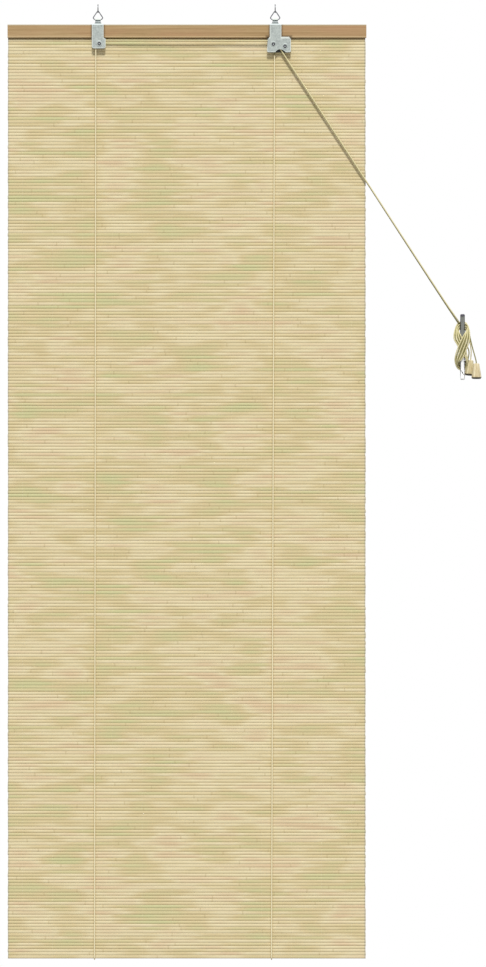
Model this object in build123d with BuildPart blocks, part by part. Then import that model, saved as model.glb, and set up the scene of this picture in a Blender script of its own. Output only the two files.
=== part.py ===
from build123d import *
import os
from math import cos, pi, radians, sin, tan

os.makedirs("parts", exist_ok=True)

# Bamboo roll up blind, in millimetres.
# X runs to the right, Z up and the front faces -Y.
# The origin is the centre of the headrail's flat back face.

# Headrail: two wooden slats that clamp the top reeds between them
rail_length = 600.0
rail_height = 22.0
rail_depth = 3.2
rail_edge = 0.8
rail_gap = 0.1
nail_count = 4
nail_pitch = 138.0
nail_shank_r = 0.75
nail_head_r = 2.0
nail_head_depth = 0.7
nail_bite = 1.8
nail_fit = 0.05

# Mat: split bamboo reeds, one above another, tied by cotton warp threads
mat_inset = 1.5
mat_width = rail_length - 2 * mat_inset
reed_count = 297
reed_pitch = 5.25
reed_depth = 2.0
reed_crest = 2.6
reed_web = 0.9
mat_top_inset = 2.4
open_every = 3
slit_height = 0.4
slit_end = 11.0
thread_count = 12
thread_inset = 23.5
thread_pitch = (mat_width - 2 * thread_inset) / (thread_count - 1)
thread_width = 1.0
thread_depth = 0.3

# Batten behind the bottom reeds
batten_depth = 4.0
batten_height = 20.0
batten_inset = 0.5
batten_edge = 1.0

# Wheels and the pins they run on
cord_r = 1.0
wheel_cord_r = 5.8
wheel_flange_r = 6.6
wheel_width = 6.3
groove_offset = 1.45
groove_r = 1.2
web_inner_r = 2.6
web_outer_r = 4.0
web_sink = 0.7
pin_r = 1.55
running_fit = 0.05
rivet_fit = 0.03
pin_head_r = 3.0
pin_head_depth = 0.9
pin_dimple_r = 1.1
pin_dimple_depth = 0.4
left_pin = (-146.6, -21.2)
right_pin = (144.5, -22.1)
guide_pin = (163.9, -25.6)

# Hanging brackets, each folded from one galvanised sheet
sheet = 0.9
wheel_play = 0.3
thread_clear = 0.3
seat = 0.05
fold_r = 1.3
corner_r = 3.0
plate_corner_r = 2.4
left_upper = (-158.8, -139.4)
left_lower_right = -136.0
left_shoulder = -12.2
shoulder_drop = 2.0
left_bottom = -29.1
right_upper = (138.5, 157.8)
right_lower_left = 133.6
right_lower_right = 173.6
right_shoulder = -9.9
right_shoulder_end = 170.6
right_flare = -14.0
right_flare_inset = 1.6
right_bottom = -35.6
arch_left = 147.7
arch_peak = (152.4, -31.4)
arch_right = 165.0
cheek_gap = 0.4
leg_bottom = -17.8
cord_hole_r = 1.35
cord_hole_drop = -14.4
ring_r = 5.2
ring_top_r = 4.2
ring_height = 0.4
dimple = (165.1, -15.0)
dimple_r = 2.6
dimple_depth = 0.3
guide_tab_top = -33.4

# Lug on each bracket, curled round the wire bail
left_lug = -148.8
right_lug = 147.5
lug_y = -6.0
lug_width = 9.2
lug_foot_width = 14.4
lug_foot_height = 3.0
lug_axis_z = 19.5
bail_wire_r = 0.85
bail_fit = 0.08
bail_bar_half = 5.7
bail_corner = (8.3, 2.6)
bail_apex_rise = 15.1
bail_bar_bend = 1.3
bail_corner_bend = 1.6
bail_apex_bend = 2.2
bail_joint_gap = 0.4

# S hooks that the bails hang from
hook_wire_r = 0.8
hook_loop_r = 3.25
hook_open_angle = 62.0

# Lift cords where they lie on the mat
left_cord_bottom = -154.6
right_cord_bottom = 141.4
left_cord_top_z = -24.0
right_cord_top = (146.4, -40.0)
turn_height = 22.0
turn_bend = 2.2
turn_drop = 0.6
cord_clear = 0.3
knot_r = 2.4
leg_cord_bend = 2.0

# Pull cords: where they leave the wheels and where they reach the winding
pull_left_end = (456.0, -10.6, -486.8)
pull_right_end = (454.0, -9.4, -488.1)
pull_half_turn = 28.4
wrap_r = 5.6
wrap_corners = [(-6.65, -1.64), (-4.37, 5.28), (2.86, 6.22)]
guide_bend = 3.0
guide_bend_z = -32.0

# Cleat on the wall beside the blind
cleat_x = 460.7
cleat_z = -528.2
wall_y = 8.0
cleat_length = 110.0
cleat_width = 7.7
cleat_base_length = 46.0
cleat_base_width = 13.0
cleat_base_corner = 6.4
cleat_base_depth = 3.0
cleat_neck_length = 36.0
screw_spacing = 24.0
horn_back = -2.2
horn_front = -9.2
horn_tip_front = -12.6
horn_tip_depth = 5.0
horn_tip_r = 2.3
horn_front_rise = 0.3
horn_front_at = 0.5
horn_under_rise = 1.2
horn_under_at = 0.55
screw_r = 2.1

# Cord wound on the cleat, and the tassels on its two ends
winding_outline = [
    (2.0, 41.6),
    (13.3, 25.8),
    (14.8, 8.3),
    (10.8, -11.6),
    (5.5, -29.0),
    (-3.0, -38.6),
    (-13.3, -23.9),
    (-14.8, 0.0),
    (-13.3, 25.0),
    (-9.0, 38.7),
]
winding_front = -15.4
winding_back = 2.6
winding_round = 4.0
winding_end_share = 0.78
winding_clear = 0.25
tassel_length = 26.0
tassel_top_r = 4.75
tassel_bottom_r = 8.2
tassel_rim = 1.6
tassel_sink_r = 6.4
tassel_sink = 3.0
tassel_bore_r = 1.2
tassel_hold = 8.0
tassel_edge = 0.9
right_tassel = (483.8, -15.0, -555.8)
right_tassel_lean = 0.0
left_tassel = (474.4, -1.5, -550.1)
left_tassel_lean = 5.0

# Depths of the layers, from the back face forwards
mat_y = -(rail_depth + rail_gap + thread_depth + reed_depth / 2)
mat_front = mat_y - reed_depth / 2
mat_back = mat_y + reed_depth / 2
thread_front = mat_front - thread_depth
thread_back = mat_back + thread_depth
front_rail_back = thread_front - rail_gap
front_rail_front = front_rail_back - rail_depth
cheek_back = thread_front - thread_clear
cheek_front = cheek_back - sheet
plate_back = cheek_front - wheel_width - 2 * wheel_play
plate_front = plate_back - sheet
wheel_y = (cheek_front + plate_back) / 2
leg_front = 2 * seat
leg_back = leg_front + sheet
rail_top = rail_height / 2
bridge_bottom = rail_top + seat
bridge_top = bridge_bottom + sheet

# Heights of the mat and the batten
mat_top = rail_top - mat_top_inset
mat_length = reed_count * reed_pitch
mat_bottom = mat_top - mat_length
batten_bottom = mat_bottom + batten_inset
batten_back = thread_back + batten_depth

# Where the left lift cord rises to its wheel
left_cord_x = left_pin[0] - wheel_cord_r

# Curl of each bracket's lug
curl_inner = bail_wire_r + bail_fit
curl_outer = curl_inner + sheet


def finish(block, label):
    """Label a finished piece and write it to its own file."""
    block.part.label = label
    export_step(block.part, f"parts/{label}.step")


def slat(length, height, front, back, bottom, edge):
    """A wooden slat along X with its long edges eased."""
    with BuildPart() as wood:
        with BuildSketch(Plane.YZ):
            with Locations(((front + back) / 2, bottom + height / 2)):
                RectangleRounded(back - front, height, edge)
        extrude(amount=length / 2, both=True)
    return wood


# Headrail slats, each with holes for the nails
nail_places = GridLocations(nail_pitch, 1, nail_count, 1)

with BuildPart() as rail_front:
    add(slat(rail_length, rail_height, front_rail_front, front_rail_back, -rail_top, rail_edge))
    with BuildSketch(Plane.XZ.offset(-front_rail_back)):
        with nail_places:
            Circle(nail_shank_r + nail_fit)
    extrude(amount=nail_bite + nail_fit, mode=Mode.SUBTRACT)
finish(rail_front, "rail_front")

with BuildPart() as rail_back:
    add(slat(rail_length, rail_height, -rail_depth, 0, -rail_top, rail_edge))
    with BuildSketch(Plane.XZ):
        with nail_places:
            Circle(nail_shank_r + nail_fit)
    extrude(amount=rail_depth, mode=Mode.SUBTRACT)
finish(rail_back, "rail_back")

# Nails driven from the back, through the mat, into the front slat
nail_length = nail_bite - front_rail_back

with BuildPart() as rail_nails:
    with BuildSketch(Plane.XZ):
        with nail_places:
            Circle(nail_shank_r)
    extrude(amount=nail_length)
    with BuildSketch(Plane.XZ):
        with nail_places:
            Circle(nail_head_r)
    extrude(amount=-nail_head_depth)
finish(rail_nails, "rail_nails")


# Reed mat: one wall with a flat-crested ridge for each reed, drawn from the side
def reed_edge(depth_sign, order):
    """The crests and valleys down one face of the mat, as points in Y and Z."""
    points = []
    for reed in order:
        middle = mat_top - (reed + 0.5) * reed_pitch
        upper = (mat_y + depth_sign * reed_depth / 2, middle + reed_crest / 2)
        lower = (mat_y + depth_sign * reed_depth / 2, middle - reed_crest / 2)
        valley_z = mat_top - (reed + (1 if depth_sign < 0 else 0)) * reed_pitch
        valley = (mat_y + depth_sign * reed_web / 2, valley_z)
        points += [upper, lower, valley] if depth_sign < 0 else [lower, upper, valley]
    return points


front_edge = [(mat_y - reed_web / 2, mat_top)] + reed_edge(-1, range(reed_count))
back_edge = [(mat_y + reed_web / 2, mat_bottom)] + reed_edge(1, reversed(range(reed_count)))
open_valleys = range(open_every, reed_count, open_every)

with BuildPart() as reed_mat:
    with BuildSketch(Plane.YZ):
        with BuildLine():
            Polyline(*front_edge, *back_edge, close=True)
        make_face()
    extrude(amount=mat_width / 2, both=True)
    with BuildSketch(Plane.XZ.offset(-mat_y - reed_depth)):
        with Locations(*[(0, mat_top - valley * reed_pitch) for valley in open_valleys]):
            Rectangle(mat_width - 2 * slit_end, slit_height)
        with nail_places:
            Circle(nail_shank_r + nail_fit)
    extrude(amount=2 * reed_depth, mode=Mode.SUBTRACT)
finish(reed_mat, "reed_mat")

# Warp threads on both faces of the mat
with BuildPart() as warp_threads:
    for face_y in (mat_front, thread_back):
        with BuildSketch(Plane.XZ.offset(-face_y)):
            with Locations((0, (mat_top + mat_bottom) / 2)):
                with GridLocations(thread_pitch, 1, thread_count, 1):
                    Rectangle(thread_width, mat_length)
        extrude(amount=thread_depth)
finish(warp_threads, "warp_threads")

# Bottom batten
bottom_batten = slat(mat_width, batten_height, thread_back, batten_back, batten_bottom, batten_edge)
finish(bottom_batten, "bottom_batten")


# Wheels: nylon, two grooves side by side, turned about a pin along Y
def wheel(pin, label):
    """A two-groove wheel on a pin at (x, z)."""
    half = wheel_width / 2
    section = Plane(origin=(pin[0], wheel_y, pin[1]), x_dir=(0, 1, 0), z_dir=(1, 0, 0))
    with BuildPart() as turned:
        with BuildSketch(section):
            with Locations((0, (pin_r + running_fit + wheel_flange_r) / 2)):
                Rectangle(wheel_width, wheel_flange_r - pin_r - running_fit)
            with Locations((-groove_offset, wheel_cord_r), (groove_offset, wheel_cord_r)):
                Circle(groove_r, mode=Mode.SUBTRACT)
                Rectangle(2 * groove_r, groove_r, align=(Align.CENTER, Align.MIN), mode=Mode.SUBTRACT)
            with Locations((-half, (web_inner_r + web_outer_r) / 2), (half, (web_inner_r + web_outer_r) / 2)):
                Rectangle(2 * web_sink, web_outer_r - web_inner_r, mode=Mode.SUBTRACT)
        revolve(axis=Axis((pin[0], wheel_y, pin[1]), (0, 1, 0)))
    finish(turned, label)
    return turned


wheel_left = wheel(left_pin, "wheel_left")
wheel_right = wheel(right_pin, "wheel_right")
wheel_guide = wheel(guide_pin, "wheel_guide")


# Pins: domed head on the raised ring, shank riveted flush behind the cheek
def pin(place, label):
    """A riveted pin at (x, z) with its head in front of the bracket's plate."""
    head_back = plate_front - ring_height
    head_front = head_back - pin_head_depth
    section = Plane(origin=(place[0], 0, place[1]), x_dir=(0, 1, 0), z_dir=(1, 0, 0))
    with BuildPart() as rivet:
        with BuildSketch(section):
            with BuildLine():
                Polyline((cheek_back, 0), (cheek_back, pin_r), (head_back, pin_r), (head_back, pin_head_r))
                Line((head_back, pin_head_r), (head_back - pin_head_depth / 2, pin_head_r))
                Line((head_back - pin_head_depth / 2, pin_head_r), (head_front, pin_head_r - pin_head_depth / 2))
                Line((head_front, pin_head_r - pin_head_depth / 2), (head_front, pin_dimple_r))
                Line((head_front, pin_dimple_r), (head_front + pin_dimple_depth, 0))
                Line((head_front + pin_dimple_depth, 0), (cheek_back, 0))
            make_face()
        revolve(axis=Axis((place[0], 0, place[1]), (0, 1, 0)))
    finish(rivet, label)
    return rivet


pin_left = pin(left_pin, "pin_left")
pin_right = pin(right_pin, "pin_right")
pin_guide = pin(guide_pin, "pin_guide")

# Front plates of the brackets, drawn from the front
with BuildSketch() as left_plate:
    with BuildLine():
        Polyline(
            (left_upper[0], bridge_top - fold_r),
            (left_upper[1], bridge_top - fold_r),
            (left_upper[1], left_shoulder + shoulder_drop / 2),
            (left_lower_right, left_shoulder - shoulder_drop / 2),
            (left_lower_right, left_bottom),
            (left_upper[0], left_bottom),
            close=True,
        )
    make_face()
    fillet(left_plate.vertices().group_by(Axis.Y)[0], corner_r)

with BuildSketch() as right_plate:
    with BuildLine():
        Polyline(
            (right_upper[0], bridge_top - fold_r),
            (right_upper[1], bridge_top - fold_r),
            (right_upper[1], right_shoulder),
            (right_shoulder_end, right_shoulder),
            (right_lower_right, right_flare),
            (right_lower_right, right_bottom),
            (right_lower_left, right_bottom),
            (right_lower_left + right_flare_inset, right_flare),
            (right_upper[0], right_shoulder),
            close=True,
        )
    make_face()
    fillet(right_plate.vertices().group_by(Axis.Y)[0], plate_corner_r)
    with BuildLine():
        Spline((arch_left, right_bottom), arch_peak, (arch_right, right_bottom))
        Line((arch_right, right_bottom), (arch_left, right_bottom))
    make_face(mode=Mode.SUBTRACT)

# Cheeks behind the wheels, in the same plane as the folded side wall
with BuildSketch() as left_cheek:
    with BuildLine():
        Polyline(
            (left_upper[0], -rail_top - cheek_gap),
            (left_lower_right - sheet, -rail_top - cheek_gap),
            (left_lower_right - sheet, left_bottom),
            (left_upper[0], left_bottom),
            close=True,
        )
    make_face()
    fillet(left_cheek.vertices().group_by(Axis.Y)[0], corner_r)

with BuildSketch() as right_cheek:
    with BuildLine():
        Polyline(
            (right_lower_left + sheet, -rail_top - cheek_gap),
            (right_lower_right, -rail_top - cheek_gap),
            (right_lower_right, right_bottom),
            (right_lower_left + sheet, right_bottom),
            close=True,
        )
    make_face()
    fillet(right_cheek.vertices().group_by(Axis.Y)[0], corner_r)


def bracket(plate, cheek, upper, wall, pins, lug_x, cord_x):
    """A bracket over the headrail: plate, bridge, back leg, folded wall and cheek, and a curled lug."""
    middle = (upper[0] + upper[1]) / 2
    width = upper[1] - upper[0]
    wall_x, wall_top, wall_bottom = wall
    with BuildPart() as folded:
        # Hood over the headrail, drawn from the side
        with BuildSketch(Plane.YZ.offset(middle)):
            with BuildLine():
                Polyline(
                    (plate_front, -rail_top),
                    (plate_front, bridge_top),
                    (leg_back, bridge_top),
                    (leg_back, leg_bottom),
                    (leg_front, leg_bottom),
                    (leg_front, bridge_bottom),
                    (plate_back, bridge_bottom),
                    (plate_back, -rail_top),
                    close=True,
                )
            make_face()
        extrude(amount=width / 2, both=True)
        fillet(folded.edges().filter_by(Axis.X).group_by(Axis.Z)[-1], fold_r)
        # Front plate
        with BuildSketch(Plane.XZ.offset(-plate_back)):
            add(plate.sketch)
        extrude(amount=sheet)
        # Upper edges folded back to the headrail's front
        with BuildSketch(Plane.XZ.offset(seat - front_rail_front)):
            with Locations((middle, 0)):
                with GridLocations(width - sheet, 1, 2, 1):
                    Rectangle(sheet, rail_height - 2 * rail_edge)
        extrude(amount=front_rail_front - plate_back - seat)
        # Side wall and cheek
        with BuildSketch(Plane.XZ.offset(-cheek_back)):
            with Locations((wall_x, (wall_top + wall_bottom) / 2)):
                Rectangle(sheet, wall_top - wall_bottom)
        extrude(amount=cheek_back - plate_back)
        with BuildSketch(Plane.XZ.offset(-cheek_back)):
            add(cheek.sketch)
        extrude(amount=sheet)
        # Raised rings round the pins
        for place in pins:
            with Locations(Plane(origin=(place[0], plate_front, place[1]), z_dir=(0, -1, 0)).location):
                Cone(ring_r, ring_top_r, ring_height, align=(Align.CENTER, Align.CENTER, Align.MIN))
        with BuildSketch(Plane.XZ.offset(-cheek_back)):
            with Locations(*pins):
                Circle(pin_r + rivet_fit)
        extrude(amount=cheek_back - plate_front + ring_height, mode=Mode.SUBTRACT)
        # Hole in the back leg for the end of the lift cord
        with BuildSketch(Plane.XZ.offset(-leg_back)):
            with Locations((cord_x, cord_hole_drop)):
                Circle(cord_hole_r)
        extrude(amount=sheet, mode=Mode.SUBTRACT)
        # Lug: a flared foot, a neck and a curl that closes round the bail
        with BuildSketch(Plane.XZ.offset(-lug_y - curl_inner)):
            with BuildLine():
                Polyline(
                    (lug_x - lug_foot_width / 2, bridge_bottom),
                    (lug_x + lug_foot_width / 2, bridge_bottom),
                    (lug_x + lug_width / 2, bridge_top + lug_foot_height),
                    (lug_x + lug_width / 2, lug_axis_z),
                    (lug_x - lug_width / 2, lug_axis_z),
                    (lug_x - lug_width / 2, bridge_top + lug_foot_height),
                    close=True,
                )
            make_face()
        extrude(amount=-sheet)
        with BuildSketch(Plane.YZ.offset(lug_x)):
            with Locations((lug_y, lug_axis_z)):
                Circle(curl_outer)
                Circle(curl_inner, mode=Mode.SUBTRACT)
            with Locations((lug_y + curl_inner / 2, lug_axis_z - curl_outer / 2)):
                Rectangle(curl_inner, curl_outer, mode=Mode.SUBTRACT)
        extrude(amount=lug_width / 2, both=True)
    return folded


with BuildPart() as bracket_left:
    left_wall = (left_upper[0] + sheet / 2, -rail_top - cheek_gap, left_bottom + corner_r)
    add(bracket(left_plate, left_cheek, left_upper, left_wall, [left_pin], left_lug, left_cord_x))
finish(bracket_left, "bracket_left")

with BuildPart() as bracket_right:
    right_wall = (right_lower_right - sheet / 2, right_flare, right_bottom + corner_r)
    add(
        bracket(
            right_plate, right_cheek, right_upper, right_wall, [right_pin, guide_pin], right_lug, right_cord_top[0]
        )
    )
    # Tab folded forwards from the cheek, which keeps the lift cord under the arch
    with BuildSketch(Plane.XZ.offset(-cheek_front)):
        with Locations((right_cord_top[0] - cord_r - cord_clear - sheet / 2, (right_bottom + guide_tab_top) / 2)):
            Rectangle(sheet, guide_tab_top - right_bottom)
    extrude(amount=wheel_width)
    # Shallow round dimple pressed into the plate
    with BuildSketch(Plane.XZ.offset(-plate_front)):
        with Locations(dimple):
            Circle(dimple_r)
    extrude(amount=-dimple_depth, mode=Mode.SUBTRACT)
finish(bracket_right, "bracket_right")


# Bails: one wire each, its ends meeting inside the curl
def bail(lug_x, label):
    """A triangular wire bail whose bar turns in a bracket's curl."""
    bar_z = lug_axis_z
    corner_z = bar_z + bail_corner[1]
    with BuildPart() as wire:
        with BuildLine() as route:
            FilletPolyline(
                (lug_x + bail_joint_gap / 2, lug_y, bar_z),
                (lug_x + bail_bar_half, lug_y, bar_z),
                (lug_x + bail_corner[0], lug_y, corner_z),
                (lug_x, lug_y, bar_z + bail_apex_rise),
                (lug_x - bail_corner[0], lug_y, corner_z),
                (lug_x - bail_bar_half, lug_y, bar_z),
                (lug_x - bail_joint_gap / 2, lug_y, bar_z),
                radius=[bail_bar_bend, bail_corner_bend, bail_apex_bend, bail_corner_bend, bail_bar_bend],
            )
        with BuildSketch(Plane(origin=route.line @ 0, z_dir=route.line % 0)):
            Circle(bail_wire_r)
        sweep(path=route.line)
    finish(wire, label)
    return wire


bail_left = bail(left_lug, "bail_left")
bail_right = bail(right_lug, "bail_right")

# Height of the wire's middle at the top of a bail
apex_half_angle = Vector(0, 1).get_angle(Vector(bail_corner[0], bail_apex_rise - bail_corner[1]))
apex_z = lug_axis_z + bail_apex_rise - bail_apex_bend * (1 / sin(radians(apex_half_angle)) - 1)


# S hooks: two open loops of wire, seen edge-on from the front
def hook(lug_x, label):
    """An S hook whose lower loop passes under the top of a bail."""
    lower_z = apex_z - bail_wire_r - hook_wire_r + hook_loop_r
    upper_z = lower_z + 2 * hook_loop_r
    sweep_angle = 360 - hook_open_angle
    with BuildPart() as wire:
        with BuildLine(Plane.YZ.offset(lug_x)) as route:
            CenterArc((lug_y, lower_z), hook_loop_r, 90 + hook_open_angle, sweep_angle)
            CenterArc((lug_y, upper_z), hook_loop_r, -90, -sweep_angle)
        with BuildSketch(Plane(origin=route.line @ 0, z_dir=route.line % 0)):
            Circle(hook_wire_r)
        sweep(path=route.line)
    finish(wire, label)
    return wire


hook_left = hook(left_lug, "hook_left")
hook_right = hook(right_lug, "hook_right")


# Cords: tubes of straight runs joined by tangent arcs
def cord(route, label, radii=None):
    """A cord along a route. Arcs are as large as their runs allow where no radii are given."""
    points = [Vector(*point) for point in route]
    if radii is None:
        radii = []
        for before, corner, after in zip(points, points[1:], points[2:]):
            turn = (corner - before).get_angle(after - corner)
            shorter = min((corner - before).length, (after - corner).length)
            radii.append(0.45 * shorter / tan(radians(turn / 2)))
    with BuildPart() as tube:
        with BuildLine() as path:
            if len(points) == 2:
                Line(*points)
            else:
                FilletPolyline(*points, radius=radii)
        with BuildSketch(Plane(origin=path.line @ 0, z_dir=path.line % 0)):
            Circle(cord_r)
        sweep(path=path.line)
    length = sum(edge.length for edge in path.edges())
    share = tube.part.volume / (pi * cord_r**2 * length)
    print(f"{label}: length {length:.1f}, volume {share:.4f} of section times length", [round(r, 1) for r in radii])
    finish(tube, label)
    return tube


# Lift cords where they lie on the mat, in front of it and behind it
turn_top = mat_bottom + turn_height
turn_z = mat_bottom - turn_drop - cord_r
cord_front_y = thread_front - cord_clear - cord_r
cord_back_y = batten_back + cord_clear + cord_r
cord_leg_y = thread_back + cord_clear + cord_r
groove_front_y = wheel_y - groove_offset
groove_back_y = wheel_y + groove_offset

# Left cord: rises in the front groove and runs across to the right bracket
left_top = (left_cord_x, groove_front_y, left_cord_top_z)
right_top = (right_cord_top[0], groove_back_y, right_cord_top[1])
left_front_foot = (left_cord_bottom, cord_front_y, turn_top)
right_front_foot = (right_cord_bottom, cord_front_y, turn_top)
cord([left_top, left_front_foot], "lift_cord_left_front")
cord([right_top, right_front_foot], "lift_cord_right_front")


def back_run(top_x, bottom_x, label):
    """The back of a lift cord, from the hole in a bracket's leg down to the turn."""
    start = (top_x, leg_back, cord_hole_drop)
    corner = (top_x, cord_leg_y, cord_hole_drop)
    foot = (bottom_x, cord_back_y, turn_top)
    return cord([start, corner, foot], label, [leg_cord_bend])


def bottom_turn(bottom_x, label):
    """The turn of a lift cord round the foot of the mat and its batten."""
    route = [
        (bottom_x, cord_front_y, turn_top),
        (bottom_x, cord_front_y, turn_z),
        (bottom_x, cord_back_y, turn_z),
        (bottom_x, cord_back_y, turn_top),
    ]
    return cord(route, label, [turn_bend, turn_bend])


def knot(top_x, label):
    """The knot that stops a lift cord behind a bracket's leg."""
    with BuildPart() as ball:
        with Locations((top_x, leg_back + knot_r, cord_hole_drop)):
            Sphere(knot_r)
        with BuildSketch(Plane.XZ.offset(-leg_back - seat)):
            with Locations((top_x, cord_hole_drop)):
                Circle(knot_r)
        extrude(amount=knot_r, mode=Mode.SUBTRACT)
    finish(ball, label)
    return ball


back_run(left_cord_x, left_cord_bottom, "lift_cord_left_back")
back_run(right_cord_top[0], right_cord_bottom, "lift_cord_right_back")
bottom_turn(left_cord_bottom, "turn_left")
bottom_turn(right_cord_bottom, "turn_right")
knot(left_cord_x, "knot_left")
knot(right_cord_top[0], "knot_right")

# Pull cords over the wheels and down to the cleat
pull_left = [
    left_top,
    (left_cord_x, groove_front_y, left_pin[1] + wheel_cord_r),
    (right_pin[0] + wheel_cord_r * tan(radians(pull_half_turn)), groove_front_y, right_pin[1] + wheel_cord_r),
    pull_left_end,
]
cord(pull_left, "pull_cord_left", [wheel_cord_r, wheel_cord_r])

wrap = [(right_pin[0] + x, groove_back_y, right_pin[1] + z) for x, z in wrap_corners]
pull_right = [right_top, (right_cord_top[0], groove_back_y, guide_bend_z), *wrap, pull_right_end]
cord(pull_right, "pull_cord_right", [guide_bend, wrap_r, wrap_r, wrap_r])

# Tails that hang from the winding into the tassels
tail_right = [
    (472.0, -11.0, -509.0),
    (477.4, -13.0, -520.0),
    (481.9, -14.4, -533.0),
    (483.8, -15.0, -548.0),
    (483.8, -15.0, -563.8),
]
cord(tail_right, "tail_right")

tail_left = [
    (472.6, -4.6, -513.0),
    (476.4, -3.2, -524.5),
    (476.2, -2.0, -537.5),
    (474.4, -1.5, -550.1),
    (473.7, -1.5, -558.1),
]
cord(tail_left, "tail_left")

# Cleat: base, neck and a bar that ends in two horns, cast as one piece
half_cleat = cleat_length / 2


def horn_side(sign):
    """Half of the cleat's bar seen from the side, from its front middle to its neck."""
    tip = sign * half_cleat
    return [
        (horn_front - horn_front_rise, sign * half_cleat * horn_front_at),
        (horn_tip_front, tip - sign * horn_tip_r),
        (horn_tip_front + horn_tip_depth / 2, tip),
        (horn_tip_front + horn_tip_depth, tip - sign * horn_tip_r),
        (horn_back, sign * cleat_neck_length / 2),
    ]


with BuildSketch() as cleat_side:
    with BuildLine():
        upper = horn_side(1)
        lower = horn_side(-1)
        Spline((horn_front, 0), upper[0], upper[1], tangents=[(0, 1), (-0.2, 1)])
        ThreePointArc(upper[1], upper[2], upper[3])
        Spline(upper[3], (horn_back - horn_under_rise, half_cleat * horn_under_at), upper[4])
        Polyline(
            upper[4],
            (wall_y - cleat_base_depth, cleat_neck_length / 2),
            (wall_y - cleat_base_depth, -cleat_neck_length / 2),
            lower[4],
        )
        Spline(lower[4], (horn_back - horn_under_rise, -half_cleat * horn_under_at), lower[3])
        ThreePointArc(lower[3], lower[2], lower[1])
        Spline(lower[1], lower[0], (horn_front, 0), tangents=[(0.2, 1), (0, 1)])
    make_face()

with BuildPart() as cleat:
    with BuildSketch(Plane(origin=(cleat_x, 0, cleat_z), x_dir=(0, 1, 0), z_dir=(1, 0, 0))):
        add(cleat_side.sketch)
    extrude(amount=cleat_width / 2, both=True)
    with BuildSketch(Plane.XZ.offset(-wall_y)):
        with Locations((cleat_x, cleat_z)):
            RectangleRounded(cleat_base_width, cleat_base_length, cleat_base_corner)
    extrude(amount=cleat_base_depth)
    with BuildSketch(Plane.XZ.offset(-wall_y)):
        with Locations((cleat_x, cleat_z)):
            with GridLocations(1, screw_spacing, 1, 2):
                Circle(screw_r)
    extrude(amount=wall_y - horn_tip_front, mode=Mode.SUBTRACT)
finish(cleat, "cleat")

# Winding: the outer shape of the cord's turns round the cleat
winding_steps = [
    (winding_back, winding_end_share),
    (winding_back - winding_round, 1),
    (winding_front + winding_round, 1),
    (winding_front, winding_end_share),
]

with BuildPart() as cord_winding:
    for depth, share in winding_steps:
        with BuildSketch(Plane(origin=(cleat_x, depth, cleat_z), x_dir=(1, 0, 0), z_dir=(0, -1, 0))):
            with BuildLine():
                Spline(*[(share * x, share * z) for x, z in winding_outline], periodic=True)
            make_face()
    loft(ruled=True)
    # Room for the cleat's bar and neck
    with BuildSketch(Plane(origin=(cleat_x, 0, cleat_z), x_dir=(0, 1, 0), z_dir=(1, 0, 0))):
        with Locations(((horn_tip_front + horn_back) / 2, 0)):
            Rectangle(horn_back - horn_tip_front + 2 * winding_clear, cleat_length)
        with Locations(((horn_back + wall_y) / 2, 0)):
            Rectangle(wall_y - horn_back, cleat_neck_length + 2 * winding_clear)
    extrude(amount=cleat_width / 2 + winding_clear, both=True, mode=Mode.SUBTRACT)
finish(cord_winding, "cord_winding")


# Tassels: turned wooden cones, hollowed a little underneath
def tassel(top, lean, label):
    """A tassel that hangs from the middle of its top, leaning to the left by a few degrees."""
    along = (-sin(radians(lean)), 0, -cos(radians(lean)))
    section = Plane(origin=top, x_dir=(cos(radians(lean)), 0, -sin(radians(lean))), z_dir=(0, 1, 0))
    with BuildPart() as turned:
        with BuildSketch(section):
            with BuildLine():
                Polyline(
                    (tassel_bore_r, 0),
                    (tassel_top_r, 0),
                    (tassel_bottom_r, tassel_length - tassel_rim),
                    (tassel_bottom_r, tassel_length),
                    (tassel_sink_r, tassel_length),
                    (tassel_bore_r, tassel_length - tassel_sink),
                    close=True,
                )
            make_face()
        revolve(axis=Axis(top, along))
        fillet(turned.edges().filter_by(GeomType.CIRCLE).sort_by(SortBy.RADIUS)[-3:], tassel_edge)
    finish(turned, label)
    return turned


tassel_right = tassel(right_tassel, right_tassel_lean, "tassel_right")
tassel_left = tassel(left_tassel, left_tassel_lean, "tassel_left")
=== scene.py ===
"""A bamboo roll-up blind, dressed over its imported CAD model."""

import logging
import math
import random
from collections.abc import Callable, Iterable, Sequence
from dataclasses import dataclass, field
from enum import Enum

import bmesh
import bpy
import numpy as np
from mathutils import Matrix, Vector

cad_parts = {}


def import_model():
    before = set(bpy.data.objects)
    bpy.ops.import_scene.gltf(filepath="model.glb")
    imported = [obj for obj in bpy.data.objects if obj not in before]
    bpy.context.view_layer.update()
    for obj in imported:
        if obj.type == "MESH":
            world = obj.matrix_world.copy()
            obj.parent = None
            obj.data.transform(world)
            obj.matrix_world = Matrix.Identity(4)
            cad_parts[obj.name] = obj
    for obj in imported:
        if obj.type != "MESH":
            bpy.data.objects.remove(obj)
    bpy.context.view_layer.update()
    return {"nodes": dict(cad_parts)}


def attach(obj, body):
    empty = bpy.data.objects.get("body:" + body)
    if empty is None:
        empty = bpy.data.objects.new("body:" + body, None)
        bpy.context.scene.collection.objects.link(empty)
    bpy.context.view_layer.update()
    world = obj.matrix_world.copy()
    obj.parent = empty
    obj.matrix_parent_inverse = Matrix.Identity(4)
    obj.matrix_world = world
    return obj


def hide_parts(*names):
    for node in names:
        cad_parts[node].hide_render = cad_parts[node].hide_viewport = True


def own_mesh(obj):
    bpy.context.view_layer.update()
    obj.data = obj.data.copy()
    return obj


logging.basicConfig(level=logging.INFO, format="%(message)s")
log = logging.getLogger("blind")

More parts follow.
